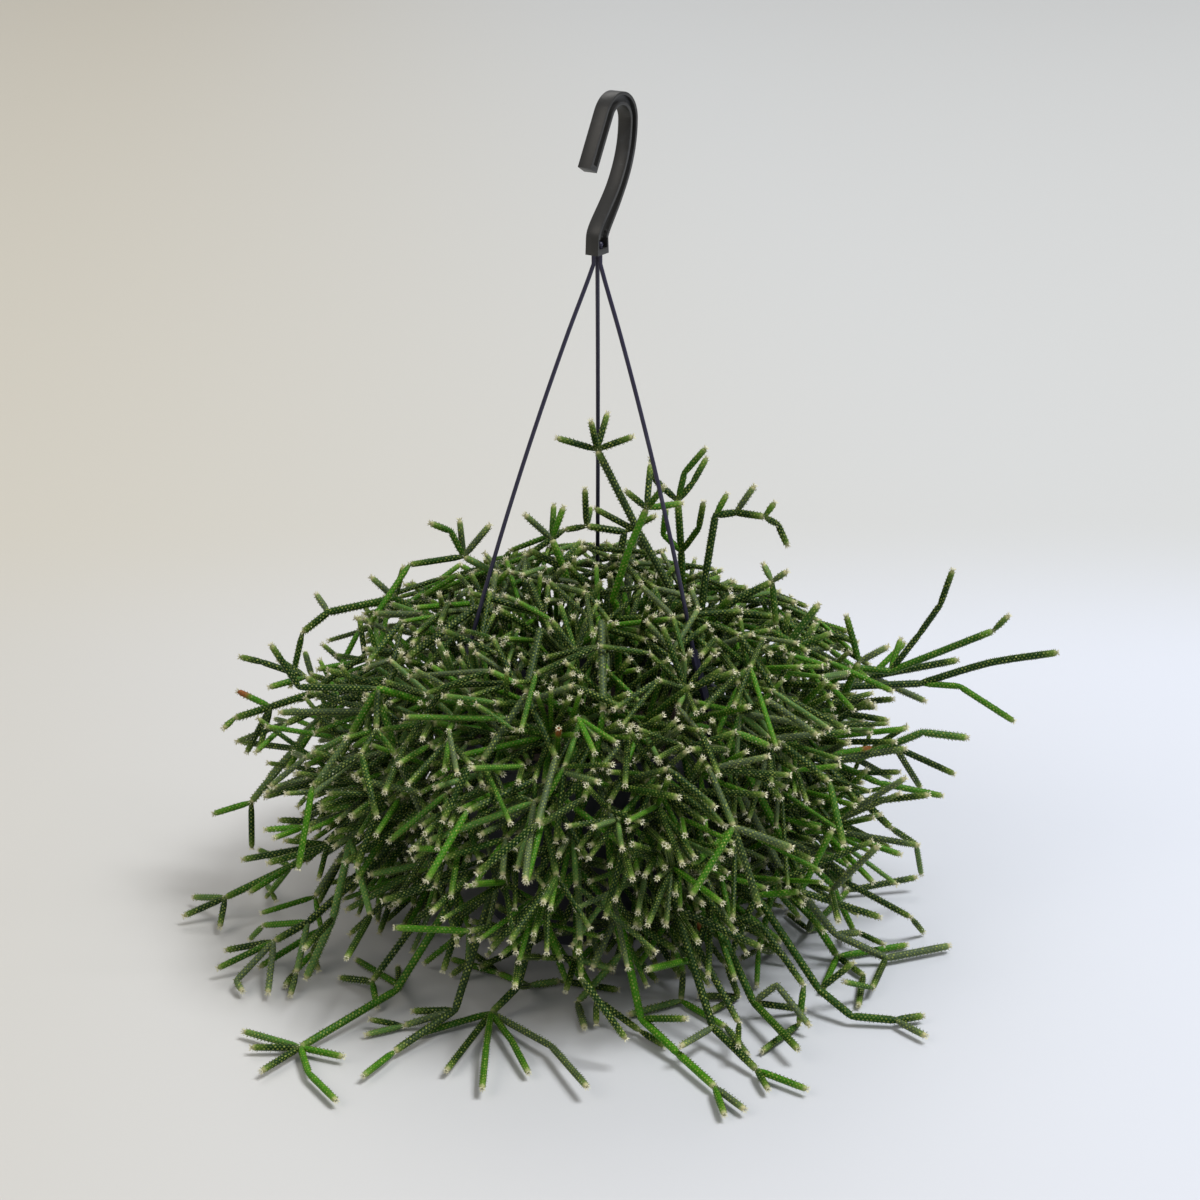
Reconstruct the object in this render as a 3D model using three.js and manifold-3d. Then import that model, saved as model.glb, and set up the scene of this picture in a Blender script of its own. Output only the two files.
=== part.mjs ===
// A bushy hanging-basket cactus in its plastic pot, with a moulded three-rod hanger and hook.
// Millimetres, +Z up. The origin is the centre of the pot's underside, and the front is at -Y.
import * as THREE from 'three';
import { mergeVertices } from 'three/addons/utils/BufferGeometryUtils.js';
import Module from 'manifold-3d';

const wasm = await Module();
wasm.setup();

const GAP = 0.3;                   // left between pieces that touch

// The pot: a tapered tub with a lip round its rim and a step near its foot.
const POT_HEIGHT = 105;
const POT_FOOT_RADIUS = 49.5;
const POT_WALL_TOP_RADIUS = 67.3;
const POT_FLOOR = 2;
const POT_SIDES = 40;
const LIP_RADIUS = 70;
const LIP_HEIGHT = 8;
const INNER_FOOT_RADIUS = 48;
const INNER_RIM_RADIUS = 66.8;
const STEP_HEIGHT = 32;
const STEP_DEPTH = 0.8;
const DRAIN_COUNT = 6;
const DRAIN_RADIUS = 4;
const DRAIN_CIRCLE = 32;

// The compost that fills it, and the holes that the stems stand in.
const SOIL_TOP = 92;
const SOIL_CROWN = 2;
const SOIL_SIDES = 28;
const ROOT_COUNT = 54;
const ROOT_CIRCLE = 58;
const ROOT_DEPTH = 9;
const ROOT_STUB = 5;
const HOLE_RADIUS = 5.4;
const HOLE_SIDES = 3;

// The hanger: three rods, each with a flat clip on the rim and a round head in the hook's foot.
const ROD_ANGLES = { right: -35, back: 85, left: 205 };
const ROD_RADIUS = 1;
const ROD_SIDES = 6;
const ROD_STEPS = 6;
const ROD_BOW = 3;
const HEAD_RADIUS = 1.35;
const HEAD_CIRCLE = 1.75;
const CLIP_WIDTH = 4.4;
const CLIP_THICKNESS = 1.6;
const TAB_END = [60.6, 148];       // radius and height where a clip's tab turns into its rod

// The hook: its foot's place, the way its crook leans, and its outline in its own plane. Its shank
// stands upright round the foot's hollow, then curves to the side of the crook. It thickens downward.
const HOOK_FOOT = [5, 0, 333.5];
const HOOK_HEADING = 56.5;         // degrees from +X, away from the tip
const HOOK_WIDTH = 6.8;
const HOOK_THICKNESS = 6;
const HOOK_FLANGE = 1.5;
const HOOK_RECESS = 1.9;
const SHANK_RISE = 13;             // heights that the shank's curve aims at, from the foot and the crook
const SHANK_BEND = 28;
const CROOK_CENTRE = [14.9, 56.6];
const CROOK_RADIUS = 10.8;
const HOOK_TIP = [-8, 38.5];
const TIP_WALL = 2.5;
const FOOT_HALF = 4.5;
const FOOT_TAPER = 26;             // height at which the shank has its own thickness
const FOOT_BOTTOM = -1;
const FOOT_FLOOR = 2.8;
const FOOT_HOLLOW = 3.4;           // half of the hollow that holds the rods' heads
const FOOT_WINDOW = 4.6;
const NUB_PLACE = [4.9, 8.5];
const NUB_RADIUS = 1.4;

// The stems: thick ones from the soil, then forks, then tips.
const STEM_RADII = [2.4, 2.1, 1.85];
const STEM_SIDES = [4, 3, 3];
const FUSING_TOLERANCE = 0.15;     // how far fusing the stems of a spray may move their surface
const CUTTING_TOLERANCE = 0.03;    // the same where a hole is cut
const FLOOR_CLEARANCE = 0.4;
const STEM_SPACING = 0.35;
const FORK_NECK = 5;
const FORK_TRIM = 14;              // a fork may lie close to its neighbours this near its joint
const GRID = 24;
const SEED = 20260;
const TIP_SHARE = 0.34;            // of the forks end in two tips
const SHOULDER_FORKS = 2;          // on the stretch of each stem over the soil

// Forks that fill what is left bare: how far each one's end is from every other stem, the widest gaps
// first, how many such forks there are, and how often each width is tried.
const GAP_WIDTHS = [22, 19, 16, 14, 12];
const GAP_FORKS = 140;
const GAP_TRIES = 3000;
const BUSH_CORE = [0, 0, 60];      // these forks grow away from here

// The rounded outline that the bush itself keeps to, and only the sprigs below pass.
const BUSH_TOP = 176;
const BUSH_FALL = 0.0026;
const BUSH_REACH = 172;

// Stems that fill the bush, as the reach and height of their joints.
const FILLERS = {
  skirt: [[77, 110], [103, 62], [128, 26], [158, 8]],
  shelf: [[74, 121], [116, 112], [148, 82]],
  dome: [[30, 140], [58, 160], [88, 150]],
};

// Sprigs that reach clear of the bush. Each is the stem's joints, from where it leaves the pot, and
// its forks: the number of the joint that a fork leaves, then the points it runs through.
const SPRIGS = [
  // tall ones over the middle
  { joints: [[42, 8, 160], [25, 8, 192], [5, 6, 234]],
    forks: [[2, [-14, 2, 241]], [2, [2, 0, 250]], [2, [10, 16, 249]], [2, [22, 4, 241]], [1, [4, 14, 202]]] },
  { joints: [[12, -12, 165], [20, -14, 192], [28, -12, 211]],
    forks: [[2, [18, -16, 221]], [2, [36, -16, 223]], [2, [45, -8, 212]], [2, [30, 2, 228]]] },
  { joints: [[47, 26, 150], [46, 25, 176], [44, 25, 202]],
    forks: [[2, [47, 26, 216], [57, 24, 229]], [2, [51, 28, 210], [58, 34, 221]], [2, [33, 30, 211], [31, 34, 221]],
      [1, [54, 20, 190], [56, 18, 204]], [1, [37, 22, 186], [38, 16, 201]]] },
  { joints: [[45, 8, 148], [52, 10, 172], [63, 10, 196], [73, 8, 201], [81, 6, 202]],
    forks: [[2, [67, 12, 210]], [3, [80, 12, 214]], [4, [89, 2, 209]], [4, [91, 8, 196], [96, 8, 185]]] },
  { joints: [[56, -8, 150], [70, -8, 163], [88, -6, 172]],
    forks: [[2, [95, -8, 178]], [2, [84, 0, 179]], [2, [90, -12, 152]], [0, [68, -20, 170]]] },
  { joints: [[66, -16, 125], [92, -14, 138], [110, -12, 163]], forks: [[1, [96, -10, 158]], [1, [116, -12, 148]]] },
  { joints: [[-30, 24, 150], [-48, 28, 166], [-60, 30, 172]],
    forks: [[2, [-66, 30, 185], [-76, 28, 190]], [2, [-62, 36, 189]], [2, [-86, 24, 170]], [2, [-47, 34, 187]]] },
  { joints: [[-8, 26, 150], [-11, 28, 166], [-17, 30, 181]],
    forks: [[2, [-30, 26, 195]], [2, [-11, 32, 197]], [2, [-16, 38, 196]], [1, [-2, 34, 176]], [1, [-28, 34, 174]]] },
  { joints: [[14, 42, 150], [18, 46, 178], [2, 48, 183]],
    forks: [[2, [-11, 46, 180]], [2, [3, 46, 203]], [1, [34, 44, 188]], [2, [2, 62, 186]]] },
  // right, held out in the air
  { joints: [[62, 20, 122], [105, 22, 119], [150, 25, 113], [200, 26, 134]],
    forks: [[2, [164, 29, 131], [174, 31, 146], [179, 29, 165]], [3, [207, 24, 143]], [1, [118, 34, 131]],
      [2, [156, 36, 126]]] },
  { joints: [[66, 6, 117], [119, 8, 115], [170, 10, 115], [222, 8, 137]],
    forks: [[2, [182, 8, 112], [209, 4, 95]], [1, [130, -2, 127]]] },
  { joints: [[70, 34, 118], [110, 36, 108], [142, 40, 104], [186, 42, 112]],
    forks: [[2, [160, 50, 118]], [1, [120, 48, 120]], [2, [170, 36, 92]]] },
  { joints: [[74, -12, 110], [121, -5, 104], [131, -4, 130]],
    forks: [[2, [124, -4, 154]], [2, [145, -4, 138]], [1, [146, -6, 100]], [1, [138, -14, 112]]] },
  { joints: [[72, -20, 110], [112, -22, 88], [130, -20, 86], [161, -20, 100], [183, -20, 97]],
    forks: [[2, [146, -14, 91], [178, -16, 76]], [1, [140, -28, 77], [171, -28, 70]], [1, [124, -34, 102]]] },
  { joints: [[70, -28, 120], [112, -36, 92], [146, -34, 56]],
    forks: [[2, [160, -24, 42]], [0, [98, -46, 64], [126, -46, 32], [156, -46, 14]], [1, [128, -48, 76]]] },
  // right, hanging towards the floor
  { joints: [[50, -56, 110], [78, -88, 48], [106, -112, 12], [120, -124, 5], [140, -126, 4], [153, -122, 4]],
    forks: [[4, [152, -140, 4]], [1, [98, -92, 52]], [2, [122, -108, 24]]] },
  { joints: [[60, -46, 108], [88, -56, 60], [105, -62, 22], [120, -66, 6]],
    forks: [[1, [112, -52, 34], [128, -50, 14]], [1, [98, -70, 46]], [0, [84, -42, 94]]] },
  { joints: [[56, -52, 110], [90, -66, 52], [117, -70, 18], [142, -68, 4], [174, -56, 4]],
    forks: [[3, [132, -100, 6]], [1, [104, -82, 40]], [2, [130, -58, 12]]] },
  // front, hanging and lying on the floor
  { joints: [[42, -62, 109], [58, -96, 48], [72, -122, 14], [92, -158, 4]],
    forks: [[1, [80, -104, 40], [98, -122, 20]], [2, [86, -118, 18], [100, -134, 6]], [1, [48, -112, 28]]] },
  { joints: [[26, -70, 110], [40, -108, 52], [56, -142, 10], [74, -168, 4]],
    forks: [[3, [78, -184, 4]], [3, [95, -184, 4]], [1, [52, -118, 30], [70, -140, 14]], [2, [44, -160, 6]]] },
  { joints: [[6, -74, 108], [14, -104, 48], [24, -134, 10], [40, -156, 5], [55, -182, 4]],
    forks: [[4, [58, -204, 4]], [4, [67, -200, 4]], [2, [44, -148, 18]], [1, [2, -124, 30]]] },
  { joints: [[-14, -74, 108], [-22, -98, 48], [-32, -112, 14], [-44, -120, 5]],
    forks: [[3, [-62, -168, 4]], [3, [-48, -182, 4]], [3, [-34, -146, 6], [-26, -170, 4]],
      [3, [-22, -150, 6], [0, -186, 4]], [3, [-74, -138, 4]], [1, [-12, -116, 30]]] },
  { joints: [[-4, -72, 112], [-2, -94, 62], [-2, -102, 26]],
    forks: [[2, [-24, -106, 27]], [2, [12, -110, 22]], [2, [-10, -120, 16]], [2, [4, -120, 12]], [1, [16, -100, 48]],
      [1, [-18, -106, 46]]] },
  { joints: [[-38, -62, 110], [-60, -92, 52], [-88, -108, 10], [-128, -148, 4]],
    forks: [[3, [-155, -134, 4]], [3, [-150, -148, 4]], [3, [-143, -168, 4]], [3, [-108, -156, 4]],
      [3, [-122, -170, 4], [-108, -192, 4]], [1, [-78, -82, 34], [-100, -96, 8]]] },
  { joints: [[-26, -68, 110], [-44, -98, 54], [-60, -126, 10], [-86, -152, 4]],
    forks: [[1, [-58, -92, 40], [-66, -112, 22]], [2, [-80, -120, 6]], [3, [-98, -172, 4]]] },
  // left
  { joints: [[-56, -50, 110], [-98, -58, 52], [-132, -68, 24], [-148, -72, 16]],
    forks: [[3, [-172, -66, 8]], [3, [-174, -80, 6]], [3, [-164, -90, 5], [-160, -98, 4]], [3, [-148, -100, 4]],
      [2, [-136, -88, 8]], [1, [-120, -44, 44]]] },
  { joints: [[-64, -40, 110], [-108, -28, 56], [-145, -22, 30], [-178, -20, 12]],
    forks: [[3, [-196, -6, 5]], [3, [-198, -26, 5]], [3, [-179, -36, 4]], [2, [-158, -2, 6]], [1, [-124, -42, 52]],
      [2, [-164, -34, 22]]] },
  { joints: [[-62, -30, 122], [-92, -56, 140], [-112, -58, 116]],
    forks: [[1, [-132, -60, 141], [-144, -60, 162]], [2, [-128, -70, 92]], [2, [-132, -48, 100]], [1, [-96, -74, 126]]] },
  { joints: [[-68, -6, 118], [-120, -2, 110], [-136, 0, 121]],
    forks: [[2, [-157, 2, 128], [-168, 4, 130]], [2, [-153, -8, 119]], [2, [-150, 10, 126]], [1, [-146, -4, 98]]] },
  { joints: [[-70, 16, 116], [-121, 12, 112], [-155, 10, 101], [-173, 10, 95]],
    forks: [[3, [-178, 4, 92]], [2, [-172, 18, 106]], [1, [-136, 24, 112]], [2, [-160, -4, 84]]] },
  { joints: [[-74, 4, 106], [-130, 2, 100], [-146, 0, 82], [-168, 0, 56]],
    forks: [[3, [-185, 2, 47]], [3, [-166, -4, 31]], [1, [-140, 18, 84], [-150, 26, 62]], [2, [-158, 12, 62]]] },
  { joints: [[-62, 26, 130], [-94, 28, 151], [-127, 30, 143], [-140, 28, 133]],
    forks: [[1, [-106, 34, 160]], [1, [-90, 38, 164]], [2, [-134, 42, 148]]] },
  { joints: [[-68, -22, 112], [-98, -48, 76], [-106, -70, 62], [-122, -84, 30], [-126, -92, 6]],
    forks: [[2, [-120, -62, 66]], [1, [-124, -42, 70]], [3, [-136, -76, 14]], [2, [-100, -92, 40]]] },
];

// Vectors and solids

const vec = (x, y, z) => new THREE.Vector3(x, y, z);

function seededRandom(seed) {
  let state = seed;
  return () => {
    state = (Math.imul(state, 1664525) + 1013904223) >>> 0;
    return state / 4294967296;
  };
}

function toSolid(geometry) {
  const bare = new THREE.BufferGeometry();
  bare.setAttribute('position', geometry.getAttribute('position').clone());
  if (geometry.index) bare.setIndex(geometry.index.clone());
  const merged = mergeVertices(bare, 1e-4);
  const corners = merged.index.array;
  const kept = [];
  for (let i = 0; i < corners.length; i += 3) {
    const [a, b, c] = [corners[i], corners[i + 1], corners[i + 2]];
    if (a !== b && b !== c && c !== a) kept.push(a, b, c);
  }
  return new wasm.Manifold(new wasm.Mesh({
    numProp: 3,
    vertProperties: new Float32Array(merged.getAttribute('position').array),
    triVerts: new Uint32Array(kept),
  }));
}

function toGeometry(solid, tolerance = CUTTING_TOLERANCE) {
  const mesh = solid.asOriginal().simplify(tolerance).getMesh();
  const geometry = new THREE.BufferGeometry();
  geometry.setAttribute('position', new THREE.BufferAttribute(new Float32Array(mesh.vertProperties), 3));
  geometry.setIndex(new THREE.BufferAttribute(new Uint32Array(mesh.triVerts), 1));
  return geometry;
}

// A lathed solid about +Z. The profile runs from the axis to the axis, as [radius, height] pairs.
function lathe(profile, sides) {
  const geometry = new THREE.LatheGeometry(profile.map(([r, z]) => new THREE.Vector2(r, z)), sides);
  return geometry.rotateX(Math.PI / 2);
}

// A stem is a lathed rod with a blunt end, bent along its points. A fork starts from a point inside
// its joint and swells to its full thickness a little way along, as these stems do.
function bentRod(points, radius, sides, isFork) {
  const line = [...points];
  if (isFork) line.splice(1, 0, points[0].clone().lerp(points[1], FORK_NECK / points[0].distanceTo(points[1])));
  const last = line.length - 1;
  const profile = [new THREE.Vector2(0, 0)];
  for (let i = isFork ? 1 : 0; i < last; i++) profile.push(new THREE.Vector2(radius, i));
  profile.push(new THREE.Vector2(radius * 0.7, last));
  profile.push(new THREE.Vector2(0, last + 1));
  const geometry = new THREE.LatheGeometry(profile, sides);
  const frames = framesAlong(line);
  const place = geometry.getAttribute('position');
  for (let i = 0; i < place.count; i++) {
    const station = Math.min(Math.round(place.getY(i)), last);
    const { along, side, up } = frames[station];
    const pushed = place.getY(i) > last ? radius * 0.4 : 0;
    const p = line[station].clone()
      .addScaledVector(side, place.getX(i))
      .addScaledVector(up, -place.getZ(i))
      .addScaledVector(along, pushed);
    place.setXYZ(i, p.x, p.y, p.z);
  }
  return toSolid(geometry);
}

function framesAlong(points) {
  const frames = [];
  let side = null;
  for (let i = 0; i < points.length; i++) {
    const before = points[Math.max(i - 1, 0)];
    const after = points[Math.min(i + 1, points.length - 1)];
    const along = after.clone().sub(before).normalize();
    const guess = side ?? (Math.abs(along.z) > 0.7 ? vec(1, 0, 0) : vec(0, 0, 1));
    side = guess.clone().addScaledVector(along, -guess.dot(along)).normalize();
    frames.push({ along, side, up: along.clone().cross(side) });
  }
  return frames;
}

// Growth: shoots keep clear of each other, of the pot and of the rods

const potOuterRadius = (z) => (z < STEP_HEIGHT
  ? POT_FOOT_RADIUS - STEP_DEPTH
  : POT_FOOT_RADIUS) + (POT_WALL_TOP_RADIUS - POT_FOOT_RADIUS) * Math.max(z, 0) / (POT_HEIGHT - LIP_HEIGHT);

function segmentDistance(a, b, c, d) {
  const u = [b[0] - a[0], b[1] - a[1], b[2] - a[2]];
  const v = [d[0] - c[0], d[1] - c[1], d[2] - c[2]];
  const w = [a[0] - c[0], a[1] - c[1], a[2] - c[2]];
  const uu = u[0] * u[0] + u[1] * u[1] + u[2] * u[2];
  const uv = u[0] * v[0] + u[1] * v[1] + u[2] * v[2];
  const vv = v[0] * v[0] + v[1] * v[1] + v[2] * v[2];
  const uw = u[0] * w[0] + u[1] * w[1] + u[2] * w[2];
  const vw = v[0] * w[0] + v[1] * w[1] + v[2] * w[2];
  const det = uu * vv - uv * uv;
  let s = det > 1e-9 ? Math.min(Math.max((uv * vw - vv * uw) / det, 0), 1) : 0;
  let t = vv > 1e-9 ? (uv * s + vw) / vv : 0;
  if (t < 0 || t > 1) {
    t = Math.min(Math.max(t, 0), 1);
    s = uu > 1e-9 ? Math.min(Math.max((uv * t - uw) / uu, 0), 1) : 0;
  }
  return Math.hypot(w[0] + u[0] * s - v[0] * t, w[1] + u[1] * s - v[1] * t, w[2] + u[2] * s - v[2] * t);
}

class Thicket {
  constructor() {
    this.cells = new Map();
  }

  *cellsAround(a, b, reach) {
    const low = [0, 1, 2].map((k) => Math.floor((Math.min(a[k], b[k]) - reach) / GRID));
    const high = [0, 1, 2].map((k) => Math.floor((Math.max(a[k], b[k]) + reach) / GRID));
    for (let i = low[0]; i <= high[0]; i++) {
      for (let j = low[1]; j <= high[1]; j++) {
        for (let k = low[2]; k <= high[2]; k++) yield (i * 100 + j) * 100 + k;
      }
    }
  }

  add(points, radius, spray) {
    for (let i = 1; i < points.length; i++) {
      const capsule = { a: points[i - 1], b: points[i], radius, spray };
      for (const cell of this.cellsAround(capsule.a, capsule.b, radius)) {
        if (!this.cells.has(cell)) this.cells.set(cell, []);
        this.cells.get(cell).push(capsule);
      }
    }
  }

  // Whether every shoot is at least this far from the point.
  isBare(point, width) {
    for (const cell of this.cellsAround(point, point, width)) {
      for (const other of this.cells.get(cell) ?? []) {
        if (segmentDistance(point, point, other.a, other.b) < width) return false;
      }
    }
    return true;
  }

  // Whether a shoot fits. Near its own joint it may touch its own spray.
  fits(points, radius, spray, isFork) {
    for (let i = 1; i < points.length; i++) {
      const [a, b] = [points[i - 1], points[i]];
      const length = Math.hypot(b[0] - a[0], b[1] - a[1], b[2] - a[2]);
      const trim = i === 1 && isFork ? Math.min(FORK_TRIM / length, 1) : i === 1 ? 0.5 : 0.02;
      const start = [0, 1, 2].map((k) => a[k] + (b[k] - a[k]) * trim);
      if (potBlocks(a, b, radius)) return false;
      for (const cell of this.cellsAround(a, b, radius + 3)) {
        for (const other of this.cells.get(cell) ?? []) {
          const from = other.spray === spray ? start : a;
          if (segmentDistance(from, b, other.a, other.b) < radius + other.radius + STEM_SPACING) return false;
        }
      }
    }
    return true;
  }
}

function potBlocks(a, b, radius) {
  const reach = radius + GAP * 2;
  for (let t = 0; t <= 1; t += 0.125) {
    const x = a[0] + (b[0] - a[0]) * t;
    const y = a[1] + (b[1] - a[1]) * t;
    const z = a[2] + (b[2] - a[2]) * t;
    const away = Math.hypot(x, y);
    const overSoil = away < INNER_RIM_RADIUS - reach - 1;
    if (z < radius + FLOOR_CLEARANCE - 0.01) return true;
    if (overSoil && z < SOIL_TOP + SOIL_CROWN + reach) return true;
    if (overSoil || z > POT_HEIGHT + reach) continue;
    const wall = z > POT_HEIGHT - LIP_HEIGHT - reach ? LIP_RADIUS : potOuterRadius(z);
    if (away < wall + reach) return true;
  }
  return false;
}

const insideBush = ([x, y, z]) => {
  const away = Math.hypot(x, y);
  return away < BUSH_REACH && z < BUSH_TOP - BUSH_FALL * away * away;
};
const isOutward = (from, to) => distance(to, BUSH_CORE) > distance(from, BUSH_CORE) + 6;
const lift = (p, radius) => [p[0], p[1], Math.max(p[2], radius + FLOOR_CLEARANCE)];
const between = (a, b, t) => [0, 1, 2].map((k) => a[k] + (b[k] - a[k]) * t);
const distance = (a, b) => Math.hypot(b[0] - a[0], b[1] - a[1], b[2] - a[2]);

// The stretch from the soil to a stem's first joint: up, then over.
function arch(root, joint, steps) {
  const over = [root[0] + (joint[0] - root[0]) * 0.25, root[1] + (joint[1] - root[1]) * 0.25,
    Math.max(joint[2], POT_HEIGHT) + 12];
  const points = [];
  for (let i = 1; i <= steps; i++) {
    const t = i / steps;
    points.push(between(between(root, over, t), between(over, joint, t), t));
  }
  return points;
}

function growBush() {
  const random = seededRandom(SEED);
  const spread = (size) => (random() - 0.5) * 2 * size;
  const thicket = new Thicket();
  const sprays = [];
  for (const degrees of Object.values(ROD_ANGLES)) {
    const line = rodLine(degrees).map((p) => [p.x, p.y, p.z]);
    thicket.add(line, ROD_RADIUS + 0.6, -1);
    thicket.add([clipPoint(degrees, 71, 94), clipPoint(degrees, 71, 112), clipPoint(degrees, ...TAB_END)], 3.2, -1);
    thicket.add([clipPoint(degrees, 64.5, 101), clipPoint(degrees, 71, 107)], 3, -1);
  }

  const roots = [];
  for (let i = 0; i < ROOT_COUNT; i++) {
    const away = ROOT_CIRCLE * Math.sqrt((i + 0.5) / ROOT_COUNT);
    const turn = i * Math.PI * (3 - Math.sqrt(5));
    const [x, y] = [away * Math.cos(turn), away * Math.sin(turn)];
    const top = [x, y, SOIL_TOP + SOIL_CROWN + ROOT_STUB];
    thicket.add([[x, y, SOIL_TOP], top], STEM_RADII[0], i);
    roots.push({ x, y, top, free: true });
  }

  const bend = (from, to, radius, bow) => {
    const steps = Math.max(1, Math.round(distance(from, to) / 42));
    const points = [];
    for (let i = 1; i <= steps; i++) {
      const t = i / steps;
      const p = between(from, to, t);
      p[2] += bow * distance(from, to) * 4 * t * (1 - t);
      points.push(lift(p, radius));
    }
    return points;
  };

  // Tries a shoot, then the same shoot moved a little further each time, until it fits.
  const tryShoot = (spray, level, from, targets, tries, wander, isFork = true) => {
    const radius = STEM_RADII[level];
    for (let n = 0; n < tries; n++) {
      const moved = targets.map((p) => p.map((c) => c + spread(wander * n)));
      const points = [from];
      for (const target of moved) points.push(...bend(points[points.length - 1], target, radius, 0.05));
      if (thicket.fits(points, radius, spray.index, isFork)) {
        thicket.add(points, radius, spray.index);
        spray.shoots.push({ level, radius, points });
        return points;
      }
    }
    return null;
  };

  const startSpray = (root, joints) => {
    const index = roots.indexOf(root);
    const spray = { index, root, shoots: [], forked: [] };
    for (let n = 0; n < 14; n++) {
      const moved = joints.map((p, i) => lift(p.map((c) => c + spread(n * (i ? 0.5 : 0.9))), STEM_RADII[0]));
      const points = [root.top, ...arch(root.top, moved[0], 3)];
      const at = [points.length - 1];
      for (let i = 1; i < moved.length; i++) {
        points.push(...bend(points[points.length - 1], moved[i], STEM_RADII[0], 0.04));
        at.push(points.length - 1);
      }
      if (thicket.fits(points, STEM_RADII[0], index, false)) {
        thicket.add(points, STEM_RADII[0], index);
        spray.shoots.push({ level: 0, radius: STEM_RADII[0], points });
        spray.joints = at.map((k) => points[k]);
        spray.before = at.map((k) => points[k - 1]);
        spray.shoulder = points.slice(1, 3);
        sprays.push(spray);
        root.free = false;
        return spray;
      }
    }
    return null;
  };

  const nearestRoots = (joint) => {
    const away = Math.hypot(joint[0], joint[1]);
    const aim = Math.min(away * 0.72, ROOT_CIRCLE - 6) / away;
    const score = (root) => Math.hypot(root.x - joint[0] * aim, root.y - joint[1] * aim);
    return roots.filter((root) => root.free).sort((p, q) => score(p) - score(q)).slice(0, 8);
  };

  const grown = SPRIGS.map((sprig) => {
    let spray = null;
    for (const root of nearestRoots(sprig.joints[0])) spray ??= startSpray(root, sprig.joints);
    return spray;
  });
  for (const [i, spray] of grown.entries()) {
    if (!spray) continue;
    for (const [at, ...targets] of SPRIGS[i].forks) {
      const points = tryShoot(spray, 1, spray.joints[at], targets, 14, 0.7);
      if (points) spray.forked.push(points);
    }
  }

  // The rest of the bush. The outermost roots hang a skirt of stems to the floor, the next ones hold
  // a shelf out over it, and the inner ones a dome over the soil.
  for (const root of roots) {
    if (!root.free) continue;
    const away = Math.hypot(root.x, root.y) / ROOT_CIRCLE;
    const kind = FILLERS[away < 0.45 ? 'dome' : random() < 0.6 ? 'skirt' : 'shelf'];
    const heading = Math.atan2(root.y, root.x) + spread(0.3);
    const joints = kind.map(([reach, height]) => {
      const turn = heading + spread(0.12);
      const at = reach * (0.94 + random() * 0.16);
      return [at * Math.cos(turn), at * Math.sin(turn), height * (0.92 + random() * 0.16)];
    });
    startSpray(root, joints);
  }

  // Forks at every joint that is still bare, then tips at the ends of the forks.
  const whorl = (spray, level, joint, before, count, length, opening, gapWidth = 0) => {
    const along = vec(...joint).sub(vec(...before)).normalize();
    const side = vec(along.y, -along.x, 0.3).cross(along).normalize();
    const up = along.clone().cross(side);
    const turn = random() * Math.PI * 2;
    const shoots = [];
    for (let i = 0; i < count; i++) {
      const angle = turn + i * Math.PI * 2 / count + spread(0.3);
      const open = opening + spread(0.2);
      const reach = length * (0.75 + random() * 0.5);
      const heading = along.clone().multiplyScalar(Math.cos(open))
        .addScaledVector(side, Math.sin(open) * Math.cos(angle))
        .addScaledVector(up, Math.sin(open) * Math.sin(angle));
      heading.z += 0.12;
      const target = [0, 1, 2].map((k) => joint[k] + heading.getComponent(k) * reach);
      if (!insideBush(target)) continue;
      if (gapWidth && !isOutward(joint, target)) continue;
      if (gapWidth && !thicket.isBare(target, gapWidth)) continue;
      const points = tryShoot(spray, level, joint, [target], 4, 2.2);
      if (points) shoots.push(points);
    }
    return shoots;
  };

  for (const spray of sprays) {
    const [below, shoulder] = spray.shoulder;
    spray.forked.push(...whorl(spray, 1, shoulder, below, SHOULDER_FORKS, 36, 0.75));
    const last = spray.joints.length - 1;
    spray.joints.forEach((joint, i) => {
      const isEnd = i === last;
      const bare = !spray.forked.some((points) => distance(points[0], joint) < 1);
      const count = isEnd ? (bare ? 3 : 0) : bare ? 2 : 1;
      spray.forked.push(...whorl(spray, 1, joint, spray.before[i], count, isEnd ? 34 : 40, isEnd ? 0.55 : 0.8));
    });
  }
  for (const spray of sprays) {
    for (const points of [...spray.forked]) {
      const end = points[points.length - 1];
      if (random() < TIP_SHARE) whorl(spray, 2, end, points[points.length - 2], 2, 22, 0.6);
    }
  }
  const parents = sprays.flatMap((spray) => spray.shoots.map(({ points }) => ({ spray, points })));
  let added = 0;
  for (const width of GAP_WIDTHS) {
    for (let n = 0; n < GAP_TRIES && added < GAP_FORKS; n++) {
      const { spray, points } = parents[Math.floor(random() * parents.length)];
      const i = 1 + Math.floor(random() * (points.length - 1));
      for (const fork of whorl(spray, 1, points[i], points[i - 1], 1, 36, 0.8, width)) {
        parents.push({ spray, points: fork });
        added += 1;
      }
    }
  }
  return { sprays, roots };
}

// Pot and soil

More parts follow.
